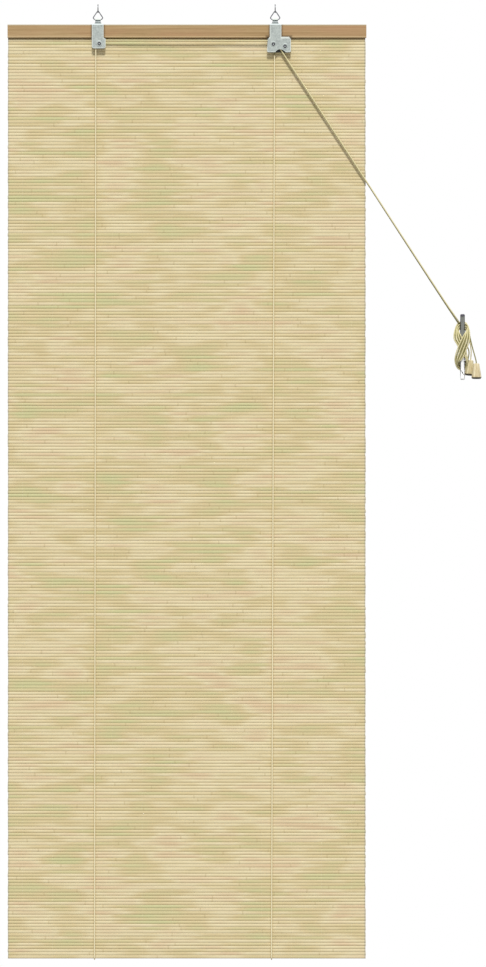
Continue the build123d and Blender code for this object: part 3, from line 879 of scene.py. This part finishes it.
@dataclass
class ReedMat:
    """The mat of split reeds and the thread that ties them. Sizes in mm."""

    width: float = 597.0
    count: int = 297
    pitch: float = 5.25
    depth: float = 2.0
    height: float = 5.3
    top: float = 8.6
    middle_y: float = -4.6
    skin_round: float = 1.0
    back_round: float = 0.5
    spans: int = 8
    # How much the reeds differ, as the least and the most
    heights: Span = (0.985, 1.035)
    depths: Span = (0.9, 1.0)
    waves: Span = (1.2, 3.2)
    bow: float = 0.09
    right_cuts: Span = (-0.6, 0.35)
    left_cuts: Span = (-1.4, -0.55)
    # What counts as a reed's end, and as its back face
    end_share: float = 0.99
    near: float = 0.02
    lift: float = 1450.0
    thread_count: int = 12
    thread_pitch: float = 50.0
    thread_radius: float = 0.3
    thread_slant: float = 0.3
    thread_jitter: float = 0.12
    # A stitch's route over a reed: heights, and how far each lies out from the reed's skin
    stitch_route: tuple[Span, ...] = (
        (-2.6, -0.75), (-1.75, -0.2), (0.0, 0.1), (1.75, -0.2), (2.6, -0.75),
    )
    stitch_sinks: Span = (0.1, 0.25)
    seed: int = 11

    def build(self) -> None:
        """Model the reeds and both faces' stitches and hang them from the headrail."""
        self.hang(self.reeds(), SplitBamboo().material(), Slot.BAMBOO, "reed_mat")
        fuzz = (1800.0, 1800.0, 1800.0)
        thread = Mottled(
            "spun_thread", rgb(236, 225, 190), rgb(210, 194, 150), roughness=0.9, metallic=0.0,
            cells=fuzz, detail=3.0, rough=0.7, reach=(0.32, 0.6),
            marks=fuzz, marks_detail=3.0, marks_rough=0.7, bump=0.0001, strength=0.7,
        ).material()
        for name, side in (("stitches_front", -1.0), ("stitches_back", 1.0)):
            self.hang(self.stitches(name, side), thread, Slot.WARP, "warp_threads")

    def hang(self, piece: Piece, material: Material, slot: Slot, replaced: str) -> None:
        """Ride a piece on the headrail, with a mesh of its own.

        Args:
            piece: The piece.
            material: Its material.
            slot: The record's slot that the material belongs to.
            replaced: The CAD piece that it stands for.
        """
        present(piece, material, slot, Body.HEADRAIL, replaced)
        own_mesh(piece)

    def blank(self) -> Piece:
        """Model one reed: a split stem with a rounded skin in front and a flatter back.

        Returns:
            The reed, with its middle at the origin.
        """
        Bench.take()
        bpy.ops.mesh.primitive_cube_add(size=1.0)
        reed = Bench.adopt("reed_blank")
        reed.scale = metres((self.width, self.depth, self.height))
        Bench.settle(reed)
        long = self.width * MM / 2
        back = (self.depth / 2 - self.near) * MM
        Bench.pick_edges(reed, lambda a, b: abs(a.x - b.x) > long and a.y < 0 and b.y < 0)
        bpy.ops.mesh.bevel(offset=self.skin_round * MM, segments=2, affect="EDGES")
        Bench.pick_edges(reed, lambda a, b: abs(a.x - b.x) > long and min(a.y, b.y) > back)
        bpy.ops.mesh.bevel(offset=self.back_round * MM, segments=1, affect="EDGES")
        Bench.pick_edges(reed, lambda a, b: abs(a.x - b.x) > long)
        bpy.ops.mesh.subdivide(number_cuts=self.spans - 1)
        bpy.ops.object.mode_set(mode="OBJECT")
        return reed

    def reeds(self) -> Piece:
        """Lay every reed from the one pattern, each a little different.

        Returns:
            All reeds as one piece.
        """
        chance = random.Random(self.seed)
        blank = self.blank()
        pattern = Bench.points_of(blank)
        along = pattern[:, 0] / (self.width * MM / 2)
        laid = []
        for number in range(self.count):
            places = pattern.copy()
            places[:, 2] *= chance.uniform(*self.heights)
            places[:, 1] *= chance.uniform(*self.depths)
            start = chance.uniform(0.0, 2 * math.pi)
            bow = self.bow * MM * chance.uniform(-1, 1)
            places[:, 2] += bow * np.sin(along * chance.uniform(*self.waves) + start)
            places[:, 0] -= (along > self.end_share) * chance.uniform(*self.right_cuts) * MM
            places[:, 0] += (along < -self.end_share) * chance.uniform(*self.left_cuts) * MM
            places += metres((0.0, self.middle_y, self.top - (number + 0.5) * self.pitch))
            reed = Bench.copy_mesh(blank, f"reed_{number}", places)
            tone = reed.data.attributes.new(SplitBamboo.tone_name, "FLOAT", "POINT")
            tone.data.foreach_set("value", np.full(len(places), chance.random(), np.float32))
            laid.append(reed)
        bpy.data.objects.remove(blank)
        mat = Bench.join(laid, "reeds")
        Bench.smooth(mat, degrees=50)
        return mat

    def stitch(self, side: float) -> Piece:
        """Model one stitch over one reed by extruding a round of thread along it.

        Args:
            side: -1 for the front of the mat and 1 for its back.

        Returns:
            The stitch, over the top reed.
        """
        skin = self.depth / 2 - self.stitch_sinks[side > 0]
        route = [(z, side * (skin + out)) for z, out in self.stitch_route]
        Bench.take()
        radius = self.thread_radius * MM
        bpy.ops.mesh.primitive_circle_add(vertices=5, radius=radius, fill_type="NGON")
        stitch = Bench.adopt("stitch")
        start_z, start_y = route[0]
        middle_z = self.top - self.pitch / 2
        stitch.location = metres((-self.thread_slant, self.middle_y + start_y, middle_z + start_z))
        Bench.settle(stitch)
        bpy.ops.object.mode_set(mode="EDIT")
        bpy.ops.mesh.select_all(action="SELECT")
        step_x = 2 * self.thread_slant / (len(route) - 1)
        for (z0, y0), (z1, y1) in zip(route, route[1:]):
            move = metres((step_x, y1 - y0, z1 - z0))
            bpy.ops.mesh.extrude_region_move(TRANSFORM_OT_translate={"value": move})
        bpy.ops.mesh.select_all(action="SELECT")
        bpy.ops.mesh.normals_make_consistent(inside=False)
        bpy.ops.object.mode_set(mode="OBJECT")
        return stitch

    def stitches(self, name: str, side: float) -> Piece:
        """Repeat a stitch down the mat and across it.

        Args:
            name: The finished piece's name.
            side: -1 for the front of the mat and 1 for its back.

        Returns:
            All stitches of one face.
        """
        chance = np.random.default_rng(self.seed)
        line = self.stitch(side)
        one = len(line.data.vertices)
        array = line.modifiers.new("down_the_mat", "ARRAY")
        array.use_relative_offset = False
        array.use_constant_offset = True
        array.constant_offset_displace = metres((0.0, 0.0, -self.pitch))
        array.count = self.count
        bpy.context.view_layer.objects.active = line
        bpy.ops.object.modifier_apply(modifier=array.name)
        pattern = Bench.points_of(line)
        reach = self.thread_jitter
        lines = []
        for number in range(self.thread_count):
            places = pattern.copy()
            places[:, 0] += (number - (self.thread_count - 1) / 2) * self.thread_pitch * MM
            places[:, 0] += np.repeat(chance.uniform(-reach, reach, self.count), one) * MM
            lines.append(Bench.copy_mesh(line, f"{name}_{number}", places))
        bpy.data.objects.remove(line)
        joined = Bench.join(lines, name)
        Bench.smooth(joined, degrees=80)
        return joined


@dataclass
class Cord:
    """A cord laid as a smooth tube along a route's points. Sizes in mm."""

    name: str
    route: list[Point]
    body: Body
    replaces: tuple[str, ...]
    lay: Lay = Lay.TAUT
    far_end: FarEnd = FarEnd.OBJECT
    with_pieces: tuple[Piece, ...] = ()
    radius: float = 1.0
    lift: float = 0.0
    steps: int = 7
    roundness: int = 2

    def mesh(self, radius: float) -> bpy.types.Mesh:
        """Make the route's spline a mesh: a tube, or its line where the radius is 0.

        Args:
            radius: The tube's radius in mm.

        Returns:
            The mesh.
        """
        data = bpy.data.curves.new(self.name, "CURVE")
        data.dimensions = "3D"
        data.resolution_u = self.steps
        data.bevel_depth = radius * MM
        data.bevel_resolution = self.roundness
        data.use_fill_caps = radius > 0
        spline = data.splines.new("NURBS")
        spline.points.add(len(self.route) - 1)
        for point, place in zip(spline.points, self.route):
            point.co = (*metres(place), 1.0)
        spline.order_u = 3
        spline.use_endpoint_u = True
        holder = Bench.place(self.name, data)
        graph = bpy.context.evaluated_depsgraph_get()
        mesh = bpy.data.meshes.new_from_object(holder.evaluated_get(graph))
        bpy.data.objects.remove(holder)
        bpy.data.curves.remove(data)
        return mesh

    def build(self, material: Material) -> None:
        """Lay the cord and say what it is.

        Args:
            material: The cord's material.
        """
        line = [vertex.co.copy() for vertex in self.mesh(0.0).vertices]
        run = [0.0]
        for before, after in zip(line, line[1:]):
            run.append(run[-1] + (after - before).length)
        tube = self.mesh(self.radius)
        tube.name = self.name
        self.measure_uv(tube, run)
        piece = Bench.place(self.name, tube)
        present(piece, material, Slot.CORD, self.body, *self.replaces)
        if self.lift:
            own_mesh(piece)
        log.info("%s: %.0f mm long", self.name, run[-1] / MM)

    @staticmethod
    def measure_uv(tube: bpy.types.Mesh, run: Sequence[float]) -> None:
        """Make the UV map's first number the distance along the cord, in metres.

        Args:
            tube: The tube's mesh.
            run: The distance along the cord at each ring.
        """
        layer = tube.uv_layers[0]
        flat = np.zeros(len(layer.data) * 2, np.float32)
        layer.data.foreach_get("uv", flat)
        flat = flat.reshape(-1, 2)
        last = len(run) - 1
        ring = np.clip(np.rint(flat[:, 0] * last).astype(int), 0, last)
        flat[:, 0] = np.array(run)[ring]
        layer.data.foreach_set("uv", flat.ravel())


@dataclass
class LiftCords:
    """The two lift cords down the mat's front, round its foot and up its back. Sizes in mm."""

    front_y: float = -7.2
    back_y: float = 2.0
    hole_z: float = -14.4
    leg_y: float = -2.0
    leg_back: float = 1.0
    turn_top: float = -1528.65
    turn_z: float = -1552.25
    lift: float = 1450.0
    bend: float = 9.6
    knot_y: float = 2.2
    knot_width: float = 1.4
    knot_radius: float = 0.95
    # Each cord's start under its bracket and its X under the mat
    sides: tuple[tuple[str, Point, float], ...] = (
        ("left", (-152.4, -12.0, -24.0), -154.6),
        ("right", (146.4, -9.1, -40.0), 141.4),
    )
    knot_loops: tuple[Point, ...] = (
        (0.0, 0.0, 0.0), (1.3, 0.4, 0.9), (0.6, 1.4, 1.7), (-1.1, 1.9, 1.0), (-1.4, 1.2, -0.8),
        (0.0, 0.5, -1.5), (1.5, 1.0, -0.6), (1.0, 2.2, 0.9), (-0.6, 2.5, 0.6),
        (-0.4, 2.3, -1.2), (0.3, 2.0, -4.0), (0.6, 1.9, -9.0), (0.4, 2.0, -14.0),
    )

    def build(self, material: Material) -> None:
        """Lay both cords, their turns and their knots.

        Args:
            material: The cords' material.
        """
        for name, top, foot_x in self.sides:
            foot = (foot_x, self.front_y, self.turn_top)
            turn = [
                foot,
                (foot_x, self.front_y, self.turn_z + self.bend),
                (foot_x, self.front_y, self.turn_z),
                (foot_x, self.back_y, self.turn_z),
                (foot_x, self.back_y, self.turn_z + self.bend),
                (foot_x, self.back_y, self.turn_top),
            ]
            back = [
                (top[0], self.leg_back, self.hole_z),
                (top[0], self.leg_y, self.hole_z),
                (top[0], self.leg_y, self.hole_z - self.bend),
                (foot_x, self.back_y, self.turn_top),
            ]
            rail, front = Body.HEADRAIL, [top, foot]
            for cord, route, body, replaced, lift in (
                (f"lift_{name}_front", front, rail, f"lift_cord_{name}_front", self.lift),
                (f"turn_{name}_cord", turn, Body.BOTTOM, f"turn_{name}", 0.0),
                (f"lift_{name}_back", back, rail, f"lift_cord_{name}_back", self.lift),
            ):
                Cord(cord, route, body, (replaced,), lift=lift).build(material)
            self.knot(name, top[0], material)

    def knot(self, name: str, x: float, material: Material) -> None:
        """Tie the knot behind a bracket's leg.

        Args:
            name: Which of the two it is.
            x: Where the cord comes through the leg.
            material: The cord's material.
        """
        wide, y, z = self.knot_width, self.knot_y, self.hole_z
        route = [(x + wide * a, y + b, z + wide * c) for a, b, c in self.knot_loops]
        Cord(
            f"knot_{name}_end",
            route,
            Body.HEADRAIL,
            (f"knot_{name}",),
            Lay.HANGING,
            FarEnd.BARE,
            radius=self.knot_radius,
        ).build(material)


@dataclass
class CleatWinding:
    """The figure-of-eight turns of the cords on the cleat. Sizes in mm."""

    middle: Point = (460.7, 0.0, -528.2)
    # The places that every turn passes: the first strand's, from the cleat's middle,
    # and the step from there to each next strand's
    round_trip: tuple[tuple[Point, Point], ...] = (
        ((0.0, 1.6, 25.5), (0.0, 0.0, 2.0)),
        ((6.3, -2.0, 26.5), (0.15, 0.1, 2.1)),
        ((6.2, -9.2, 25.5), (0.6, 0.5, 1.5)),
        ((1.8, -12.8, 19.5), (1.77, 0.3, 0.4)),
        ((-3.0, -13.4, 9.5), (2.35, 0.0, -0.1)),
        ((-7.6, -13.4, -0.5), (2.4, 0.0, -0.4)),
        ((-11.4, -12.8, -11.5), (2.25, -0.1, -0.5)),
        ((-13.2, -10.2, -22.0), (1.72, -0.3, -0.1)),
        ((-10.6, -6.0, -31.5), (0.9, -0.5, 1.4)),
        ((-6.8, -1.9, -37.0), (0.1, 0.0, 2.0)),
        ((0.0, 1.6, -39.0), (0.0, 0.0, 2.1)),
        ((6.0, -1.9, -36.0), (0.05, 0.0, 2.1)),
        ((7.8, -8.4, -29.0), (-0.3, -0.2, 1.6)),
        ((8.4, -10.9, -19.0), (-1.2, 0.0, 1.2)),
        ((5.8, -11.2, -7.0), (-1.75, 0.0, 0.5)),
        ((2.4, -11.2, 5.0), (-2.0, 0.0, 0.1)),
        ((-1.8, -11.0, 17.0), (-2.25, 0.15, -0.5)),
        ((-6.0, -9.0, 24.5), (-1.1, 0.75, 0.9)),
        ((-6.3, -2.0, 27.0), (-0.15, 0.1, 2.0)),
    )
    # The strands that a turn lies further out than the one before, and that its end leads on
    apart: float = 2.0
    leads_on: float = 1.2

    def turns(self, count: int, first: float, deeper: float) -> list[Point]:
        """Lay a cord's turns, from the upper horn's right side round to its back.

        Args:
            count: The number of turns.
            first: The first turn's strand number.
            deeper: How much nearer to the wall this cord lies, in mm.

        Returns:
            Points from the cleat's middle, in mm.
        """
        stations = len(self.round_trip)
        points = []
        for number in range(1, count * stations + 1):
            turn, at = divmod(number, stations)
            strand = first + self.apart * turn + (self.leads_on if at == stations - 1 else 0.0)
            x, y, z = (start + strand * step for start, step in zip(*self.round_trip[at]))
            points.append((x, y + deeper, z))
        return points

    @staticmethod
    def loosen(points: list[Point], at: int, outwards: Sequence[float]) -> None:
        """Let a strand hang slack over a few stations.

        Args:
            points: The cord's turns, changed in place.
            at: The first slack point.
            outwards: How far each slack point moves to the right, in mm.
        """
        for number, out in enumerate(outwards, at):
            x, y, z = points[number]
            points[number] = (x + out, y, z)

    def placed(self, points: Sequence[Point]) -> list[Point]:
        """Points moved from the cleat's middle to the blind's own frame, in mm."""
        x0, y0, z0 = self.middle
        return [(x0 + x, y0 + y, z0 + z) for x, y, z in points]


@dataclass
class PullCords:
    """The two pull cords from the wheels to the cleat, their turns and their tails. Sizes in mm."""

    winding: CleatWinding = field(default_factory=CleatWinding)

    def build(self, pale: Material, shaded: Material, tassels: dict[str, Piece]) -> None:
        """Lay both cords from end to end.

        Args:
            pale: The material of the left lift cord's end.
            shaded: The material of the right lift cord's end, a darker olive copy of the cotton
                that stands for painted shade.
            tassels: The tassel on each cord's end.
        """
        for name, route, material, others in (
            ("left", self.left(), pale, ("cord_winding",)),
            ("right", self.right(), shaded, ()),
        ):
            Cord(
                f"pull_{name}",
                route,
                Body.HEADRAIL,
                (f"pull_cord_{name}", *others, f"tail_{name}"),
                Lay.COILED,
                FarEnd.FITTING,
                with_pieces=(tassels[name],),
            ).build(material)

    def left(self) -> list[Point]:
        """Lead the left cord under the headrail, over the right wheel and down to the cleat.

        Returns:
            Its route.
        """
        run = [
            (-152.4, -12.0, -24.0), (-152.4, -12.0, -15.4), (-140.4, -12.0, -15.4),
            (135.6, -12.0, -16.3), (146.6, -12.0, -16.3), (153.0, -12.0, -25.2),
            (429.2, -10.8, -450.0),
        ]
        arrival = [(-12.0, -9.8, 51.0), (-6.6, -4.6, 43.0), (-1.0, 3.6, 36.5), (5.4, 2.0, 29.0)]
        tail = [
            (6.6, 0.0, 41.0), (9.0, -2.4, 34.0), (10.6, -4.8, 24.0), (11.3, -5.8, 13.0),
            (13.6, -5.4, 3.0), (14.8, -4.2, -7.0), (14.4, -2.6, -15.0), (13.7, -1.5, -21.9),
            (13.0, -1.5, -29.9),
        ]
        turns = self.winding.turns(count=4, first=0.0, deeper=0.0)
        return run + self.winding.placed(arrival + turns + tail)

    def right(self) -> list[Point]:
        """Lead the right cord over its own wheel and down behind the left one.

        Returns:
            Its route.
        """
        run = [
            (146.4, -9.1, -40.0), (146.4, -9.1, -32.0), (137.85, -9.1, -23.74),
            (140.13, -9.1, -16.82), (146.6, -9.1, -16.3), (152.9, -9.1, -25.2),
            (428.2, -9.2, -450.6),
        ]
        arrival = [(-13.6, -8.4, 49.6), (-8.0, -3.0, 41.5), (-2.0, 5.4, 34.0), (5.6, 4.0, 29.0)]
        tail = [
            (6.4, 1.8, 38.0), (9.4, -0.2, 30.0), (11.8, -2.8, 22.0), (13.2, -5.0, 13.6),
            (16.2, -8.0, 0.5), (19.6, -11.6, -12.0), (22.2, -14.2, -21.6), (23.1, -15.0, -27.6),
            (23.1, -15.0, -35.6),
        ]
        turns = self.winding.turns(count=3, first=1.0, deeper=0.6)
        self.winding.loosen(turns, at=12, outwards=(2.6, 7.4, 5.4))
        return run + self.winding.placed(arrival + turns + tail)


@dataclass
class Tassel:
    """A turned wooden cone on a pull cord's end. Sizes in mm."""

    side: str
    top: Point
    lean: float
    light: Colour
    dark: Colour
    length: float = 26.0
    top_radius: float = 4.75
    foot_radius: float = 8.9
    foot_round: float = 3.6
    top_round: float = 0.9
    rim: float = 1.4
    hollow: float = 3.0
    bore_radius: float = 1.2
    bore_depth: float = 8.0
    near: float = 0.1
    flat: float = 0.99

    def build(self) -> Piece:
        """Turn the tassel, hang it in its place and dress it.

        Returns:
            The tassel.
        """
        Bench.take()
        bpy.ops.mesh.primitive_cone_add(
            vertices=48,
            radius1=self.foot_radius * MM,
            radius2=self.top_radius * MM,
            depth=self.length * MM,
            location=(0.0, 0.0, -self.length * MM / 2),
        )
        tassel = Bench.adopt(f"turned_tassel_{self.side}")
        Bench.settle(tassel)
        near = self.near * MM
        foot = -self.length * MM + near
        Bench.pick_edges(tassel, lambda a, b: max(a.z, b.z) < foot)
        bpy.ops.mesh.bevel(offset=self.foot_round * MM, segments=6, affect="EDGES")
        Bench.pick_edges(tassel, lambda a, b: min(a.z, b.z) > -near)
        bpy.ops.mesh.bevel(offset=self.top_round * MM, segments=3, affect="EDGES")
        self.sink(tassel, -1.0, self.rim, self.hollow)
        wall = self.top_radius - self.top_round - self.bore_radius
        self.sink(tassel, 1.0, wall, -self.bore_depth)
        bpy.ops.object.mode_set(mode="OBJECT")
        Bench.smooth(tassel, degrees=35)
        tassel.location = metres(self.top)
        tassel.rotation_euler = (0.0, math.radians(self.lean), 0.0)
        Bench.settle(tassel)
        wood = TurnedWood(
            f"turned_wood_{self.side}",
            metres(self.top),
            self.lean,
            self.length * MM,
            self.light,
            self.dark,
        )
        present(tassel, wood.material(), Slot.WOOD, Body.HEADRAIL, f"tassel_{self.side}")
        return tassel

    def sink(self, piece: Piece, facing: float, margin: float, depth: float) -> None:
        """Cut a flat-bottomed hollow into an end face.

        Args:
            piece: The piece.
            facing: 1 for the end that faces up and -1 for the one that faces down.
            margin: The wall left round the hollow, in mm.
            depth: How far the hollow's floor moves along Z, in mm.
        """
        bpy.ops.mesh.select_mode(type="FACE")
        bpy.ops.mesh.select_all(action="DESELECT")
        shape = bmesh.from_edit_mesh(piece.data)
        for face in shape.faces:
            is_end = len(face.verts) > 4
            face.select = is_end and face.normal.z * facing > self.flat
        bmesh.update_edit_mesh(piece.data)
        bpy.ops.mesh.inset(thickness=margin * MM)
        bpy.ops.mesh.extrude_region_move(TRANSFORM_OT_translate={"value": (0.0, 0.0, depth * MM)})


@dataclass
class Cleat:
    """The wall cleat, with the soft edges of a cast and plated piece. Sizes in mm."""

    horn_from: float = 15.5
    edge_round: float = 2.0
    middle_z: float = -528.2
    near: float = 0.05

    def build(self, solid: Piece) -> None:
        """Round the two horns of the cleat's shape and dress it.

        Args:
            solid: The cleat's CAD piece.
        """
        cleat = Bench.copy_mesh(solid, "plated_cleat", Bench.points_of(solid))
        Bench.take(cleat)
        bpy.ops.object.mode_set(mode="EDIT")
        bpy.ops.mesh.select_all(action="SELECT")
        bpy.ops.mesh.remove_doubles(threshold=0.000001)
        bpy.ops.mesh.dissolve_limited(angle_limit=math.radians(1.0))
        points = bmesh.from_edit_mesh(cleat.data).verts
        ends = [point.co.x for point in points if self.on_horn(point.co)]
        left, right = min(ends) + self.near * MM, max(ends) - self.near * MM
        Bench.pick_edges(
            cleat,
            lambda a, b: self.on_horn(a)
            and self.on_horn(b)
            and (max(a.x, b.x) < left or min(a.x, b.x) > right),
        )
        rounding = self.edge_round * MM
        bpy.ops.mesh.bevel(offset=rounding, segments=5, affect="EDGES", clamp_overlap=False)
        bpy.ops.object.mode_set(mode="OBJECT")
        Bench.smooth(cleat, degrees=14)
        plating = CleatPlating(self.middle_z * MM).material()
        present(cleat, plating, Slot.CLEAT, Body.HEADRAIL, "cleat")

    def on_horn(self, place: Vector) -> bool:
        """Whether a place lies on one of the two horns, in front of the base."""
        return abs(place.z - self.middle_z * MM) > self.horn_from * MM and place.y < 0.0


@dataclass
class Fittings:
    """The CAD pieces that stay and get their real finish. Sizes in metres."""

    nodes: dict[str, Piece]
    # The brackets' faces from the front: each upper plate, then its wider foot
    left_plates: tuple[Quad, Quad] = (
        (-0.1588, -0.1394, -0.0291, 0.02),
        (-0.1588, -0.1360, -0.0291, -0.012),
    )
    right_plates: tuple[Quad, Quad] = (
        (0.1385, 0.1578, -0.0300, 0.02),
        (0.1336, 0.1736, -0.0356, -0.012),
    )
    # Painted shadow on the rail above the right bracket's foot
    shadow_over_right_foot: Quad = (0.1336, 0.1736, -0.0356, -0.0092)
    pins: tuple[tuple[str, float, float], ...] = (
        ("left", -0.1466, -0.0212),
        ("right", 0.1445, -0.0221),
        ("guide", 0.1639, -0.0256),
    )

    def build(self) -> None:
        """Dress every CAD piece that is shown."""
        self.woods()
        left = GalvanisedSheet("bracket_sheet_left", self.left_plates)
        right = GalvanisedSheet("bracket_sheet_right", self.right_plates)
        nylon = Mottled(
            "moulded_nylon", rgb(232, 231, 222), rgb(214, 212, 200), roughness=0.45, metallic=0.0,
            cells=(160.0, 160.0, 160.0), detail=2.0, rough=0.5, reach=(0.35, 0.65),
            marks=(1400.0, 1400.0, 1400.0), bump=0.00003,
        )
        wire = Mottled("bail_wire", rgb(132, 134, 138), rgb(80, 82, 88), 0.34)
        nail = Mottled("rail_nail_steel", rgb(150, 148, 146), rgb(104, 102, 100), 0.5)
        # Painted highlight and painted shade in bands along the hook wire
        shine = (0.0407, 0.0016, rgb(196, 198, 202))
        shade = (0.0440, 0.0011, rgb(84, 86, 90))
        hook = Mottled("hook_wire", rgb(60, 62, 66), rgb(26, 28, 32), 0.48, painted_bands=(shine, shade))
        self.dress_all(left.material(), "bracket_left")
        self.dress_all(right.material(), "bracket_right")
        self.dress_all(wire.material(), "bail_left", "bail_right")
        self.dress_all(hook.material(), "hook_left", "hook_right")
        self.dress_all(nail.material(), "rail_nails")
        self.dress_all(nylon.material(), "wheel_left", "wheel_right", "wheel_guide")
        for name, x, z in self.pins:
            self.dress_all(PinHead(f"pin_head_{name}", x, z).material(), f"pin_{name}")

    def woods(self) -> None:
        """Dress the headrail's two slats and the batten."""
        rail = PlanedWood(
            "headrail_wood",
            light=rgb(190, 163, 118),
            middle=rgb(178, 147, 102),
            dark=rgb(156, 125, 80),
            warm=rgb(184, 138, 102),
            # A lighter band along the lower edge, and a painted highlight on the top edge
            edges=(
                (-0.0093, 0.0008, rgb(202, 175, 132)),
                (0.0106, 0.0013, rgb(184, 172, 140)),
            ),
            # Painted shadow round the brackets' plates
            shadow_boxes=(self.left_plates[0], self.right_plates[0], self.shadow_over_right_foot),
        )
        batten = PlanedWood(
            "foot_batten_wood",
            light=rgb(204, 180, 136),
            middle=rgb(190, 162, 114),
            dark=rgb(166, 136, 88),
            warm=rgb(196, 156, 116),
        )
        self.dress_all(rail.material(), "rail_front", "rail_back")
        self.dress_all(batten.material(), "bottom_batten")

    def dress_all(self, material: Material, *names: str) -> None:
        """Give CAD pieces one material.

        Args:
            material: The material.
            *names: The pieces' names.
        """
        for name in names:
            dress(self.nodes[name], material)
            log.info("%s: %s", name, material.name)


@dataclass
class Studio:
    """The camera, the light and the floor. Places in mm."""

    middle_x: float = 93.7
    middle_z: float = -756.4
    seen_height: float = 1616.8
    lens: float = 260.0
    film: float = 36.0
    sees_to: float = 60.0
    floor_z: float = -2250.0
    floor_size: float = 2.6
    front_y: float = -8.0
    sun_from: Point = (0.04, -1.0, 1.25)
    sun_power: float = 2.72
    sun_spread: float = 9.0
    ambient: float = 0.45

    def build(self) -> None:
        """Set up the view, the light and the floor."""
        self.camera()
        self.sun()
        self.world()
        self.floor()

    def camera(self) -> None:
        """Place a long lens straight in front."""
        distance = self.lens / self.film * self.seen_height
        place = metres((self.middle_x, self.front_y - distance, self.middle_z))
        bpy.ops.object.camera_add(location=place, rotation=(math.pi / 2, 0.0, 0.0))
        camera = bpy.context.object
        camera.data.lens = self.lens
        camera.data.clip_end = self.sees_to
        bpy.context.scene.camera = camera

    def sun(self) -> None:
        """Hang a soft lamp above and a little to the right."""
        bpy.ops.object.light_add(type="SUN")
        lamp = bpy.context.object
        lamp.rotation_mode = "QUATERNION"
        lamp.rotation_quaternion = (-Vector(self.sun_from)).to_track_quat("-Z", "Y")
        lamp.data.energy = self.sun_power
        lamp.data.angle = math.radians(self.sun_spread)

    def world(self) -> None:
        """Make the world white where it is seen or mirrored, and softer as light."""
        world = bpy.data.worlds.new("white_room")
        world.use_nodes = True
        bpy.context.scene.world = world
        nodes = Nodes(world.node_tree)
        rays = nodes.add("LightPath").outputs
        seen = nodes.maths("MAXIMUM", rays["Is Camera Ray"], rays["Is Glossy Ray"])
        seen = nodes.maths("MAXIMUM", seen, rays["Is Transmission Ray"])
        strength = nodes.feed(nodes.add("MapRange"), seen, To_Min=self.ambient, To_Max=1.0)
        background = world.node_tree.nodes["Background"]
        nodes.feed(background, Color=WHITE, Strength=strength.outputs["Result"])

    def floor(self) -> None:
        """Lay a plain pale floor under the blind."""
        Bench.take()
        place = metres((self.middle_x, 0.0, self.floor_z))
        bpy.ops.mesh.primitive_plane_add(size=self.floor_size, location=place)
        floor = Bench.adopt("studio_floor")
        Bench.settle(floor)
        sheet = ShaderSheet("pale_floor", roughness=0.9)
        seen = sheet.add("LightPath").outputs["Is Camera Ray"]
        mottle = sheet.cloud((3.0, 3.0, 3.0))
        pale = sheet.ramp(mottle, (0.3, rgb(236, 236, 235)), (0.7, rgb(240, 240, 239)))
        sheet.feed(sheet.shader, Base_Color=sheet.mixed(seen, rgb(150, 150, 149), pale))
        dress(floor, sheet.material)


def main() -> None:
    """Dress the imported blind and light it."""
    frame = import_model()
    nodes = frame["nodes"]
    bpy.context.scene.view_settings.view_transform = "Standard"
    Studio().build()
    Fittings(nodes).build()
    cream = TwistedCotton()
    # A dimmer copy of the cream cotton for the left pull cord
    dimmed = TwistedCotton("dimmed_cotton", rgb(240, 230, 182), rgb(186, 176, 118))
    # A darker olive copy of the cotton for the right pull cord, as painted shade
    shaded_copy = TwistedCotton("shaded_copy_cotton", rgb(160, 154, 100), rgb(80, 74, 30))
    left_wood = rgb(238, 226, 184), rgb(178, 160, 114)
    right_wood = rgb(246, 233, 195), rgb(188, 168, 122)
    tassels = {
        "left": Tassel("left", (474.4, -1.5, -550.1), 5.0, *left_wood).build(),
        "right": Tassel("right", (483.8, -15.0, -555.8), 0.0, *right_wood).build(),
    }
    LiftCords().build(cream.material())
    PullCords().build(dimmed.material(), shaded_copy.material(), tassels)
    Cleat().build(nodes["cleat"])
    ReedMat().build()
    bpy.context.view_layer.update()


if __name__ == "__main__":
    main()
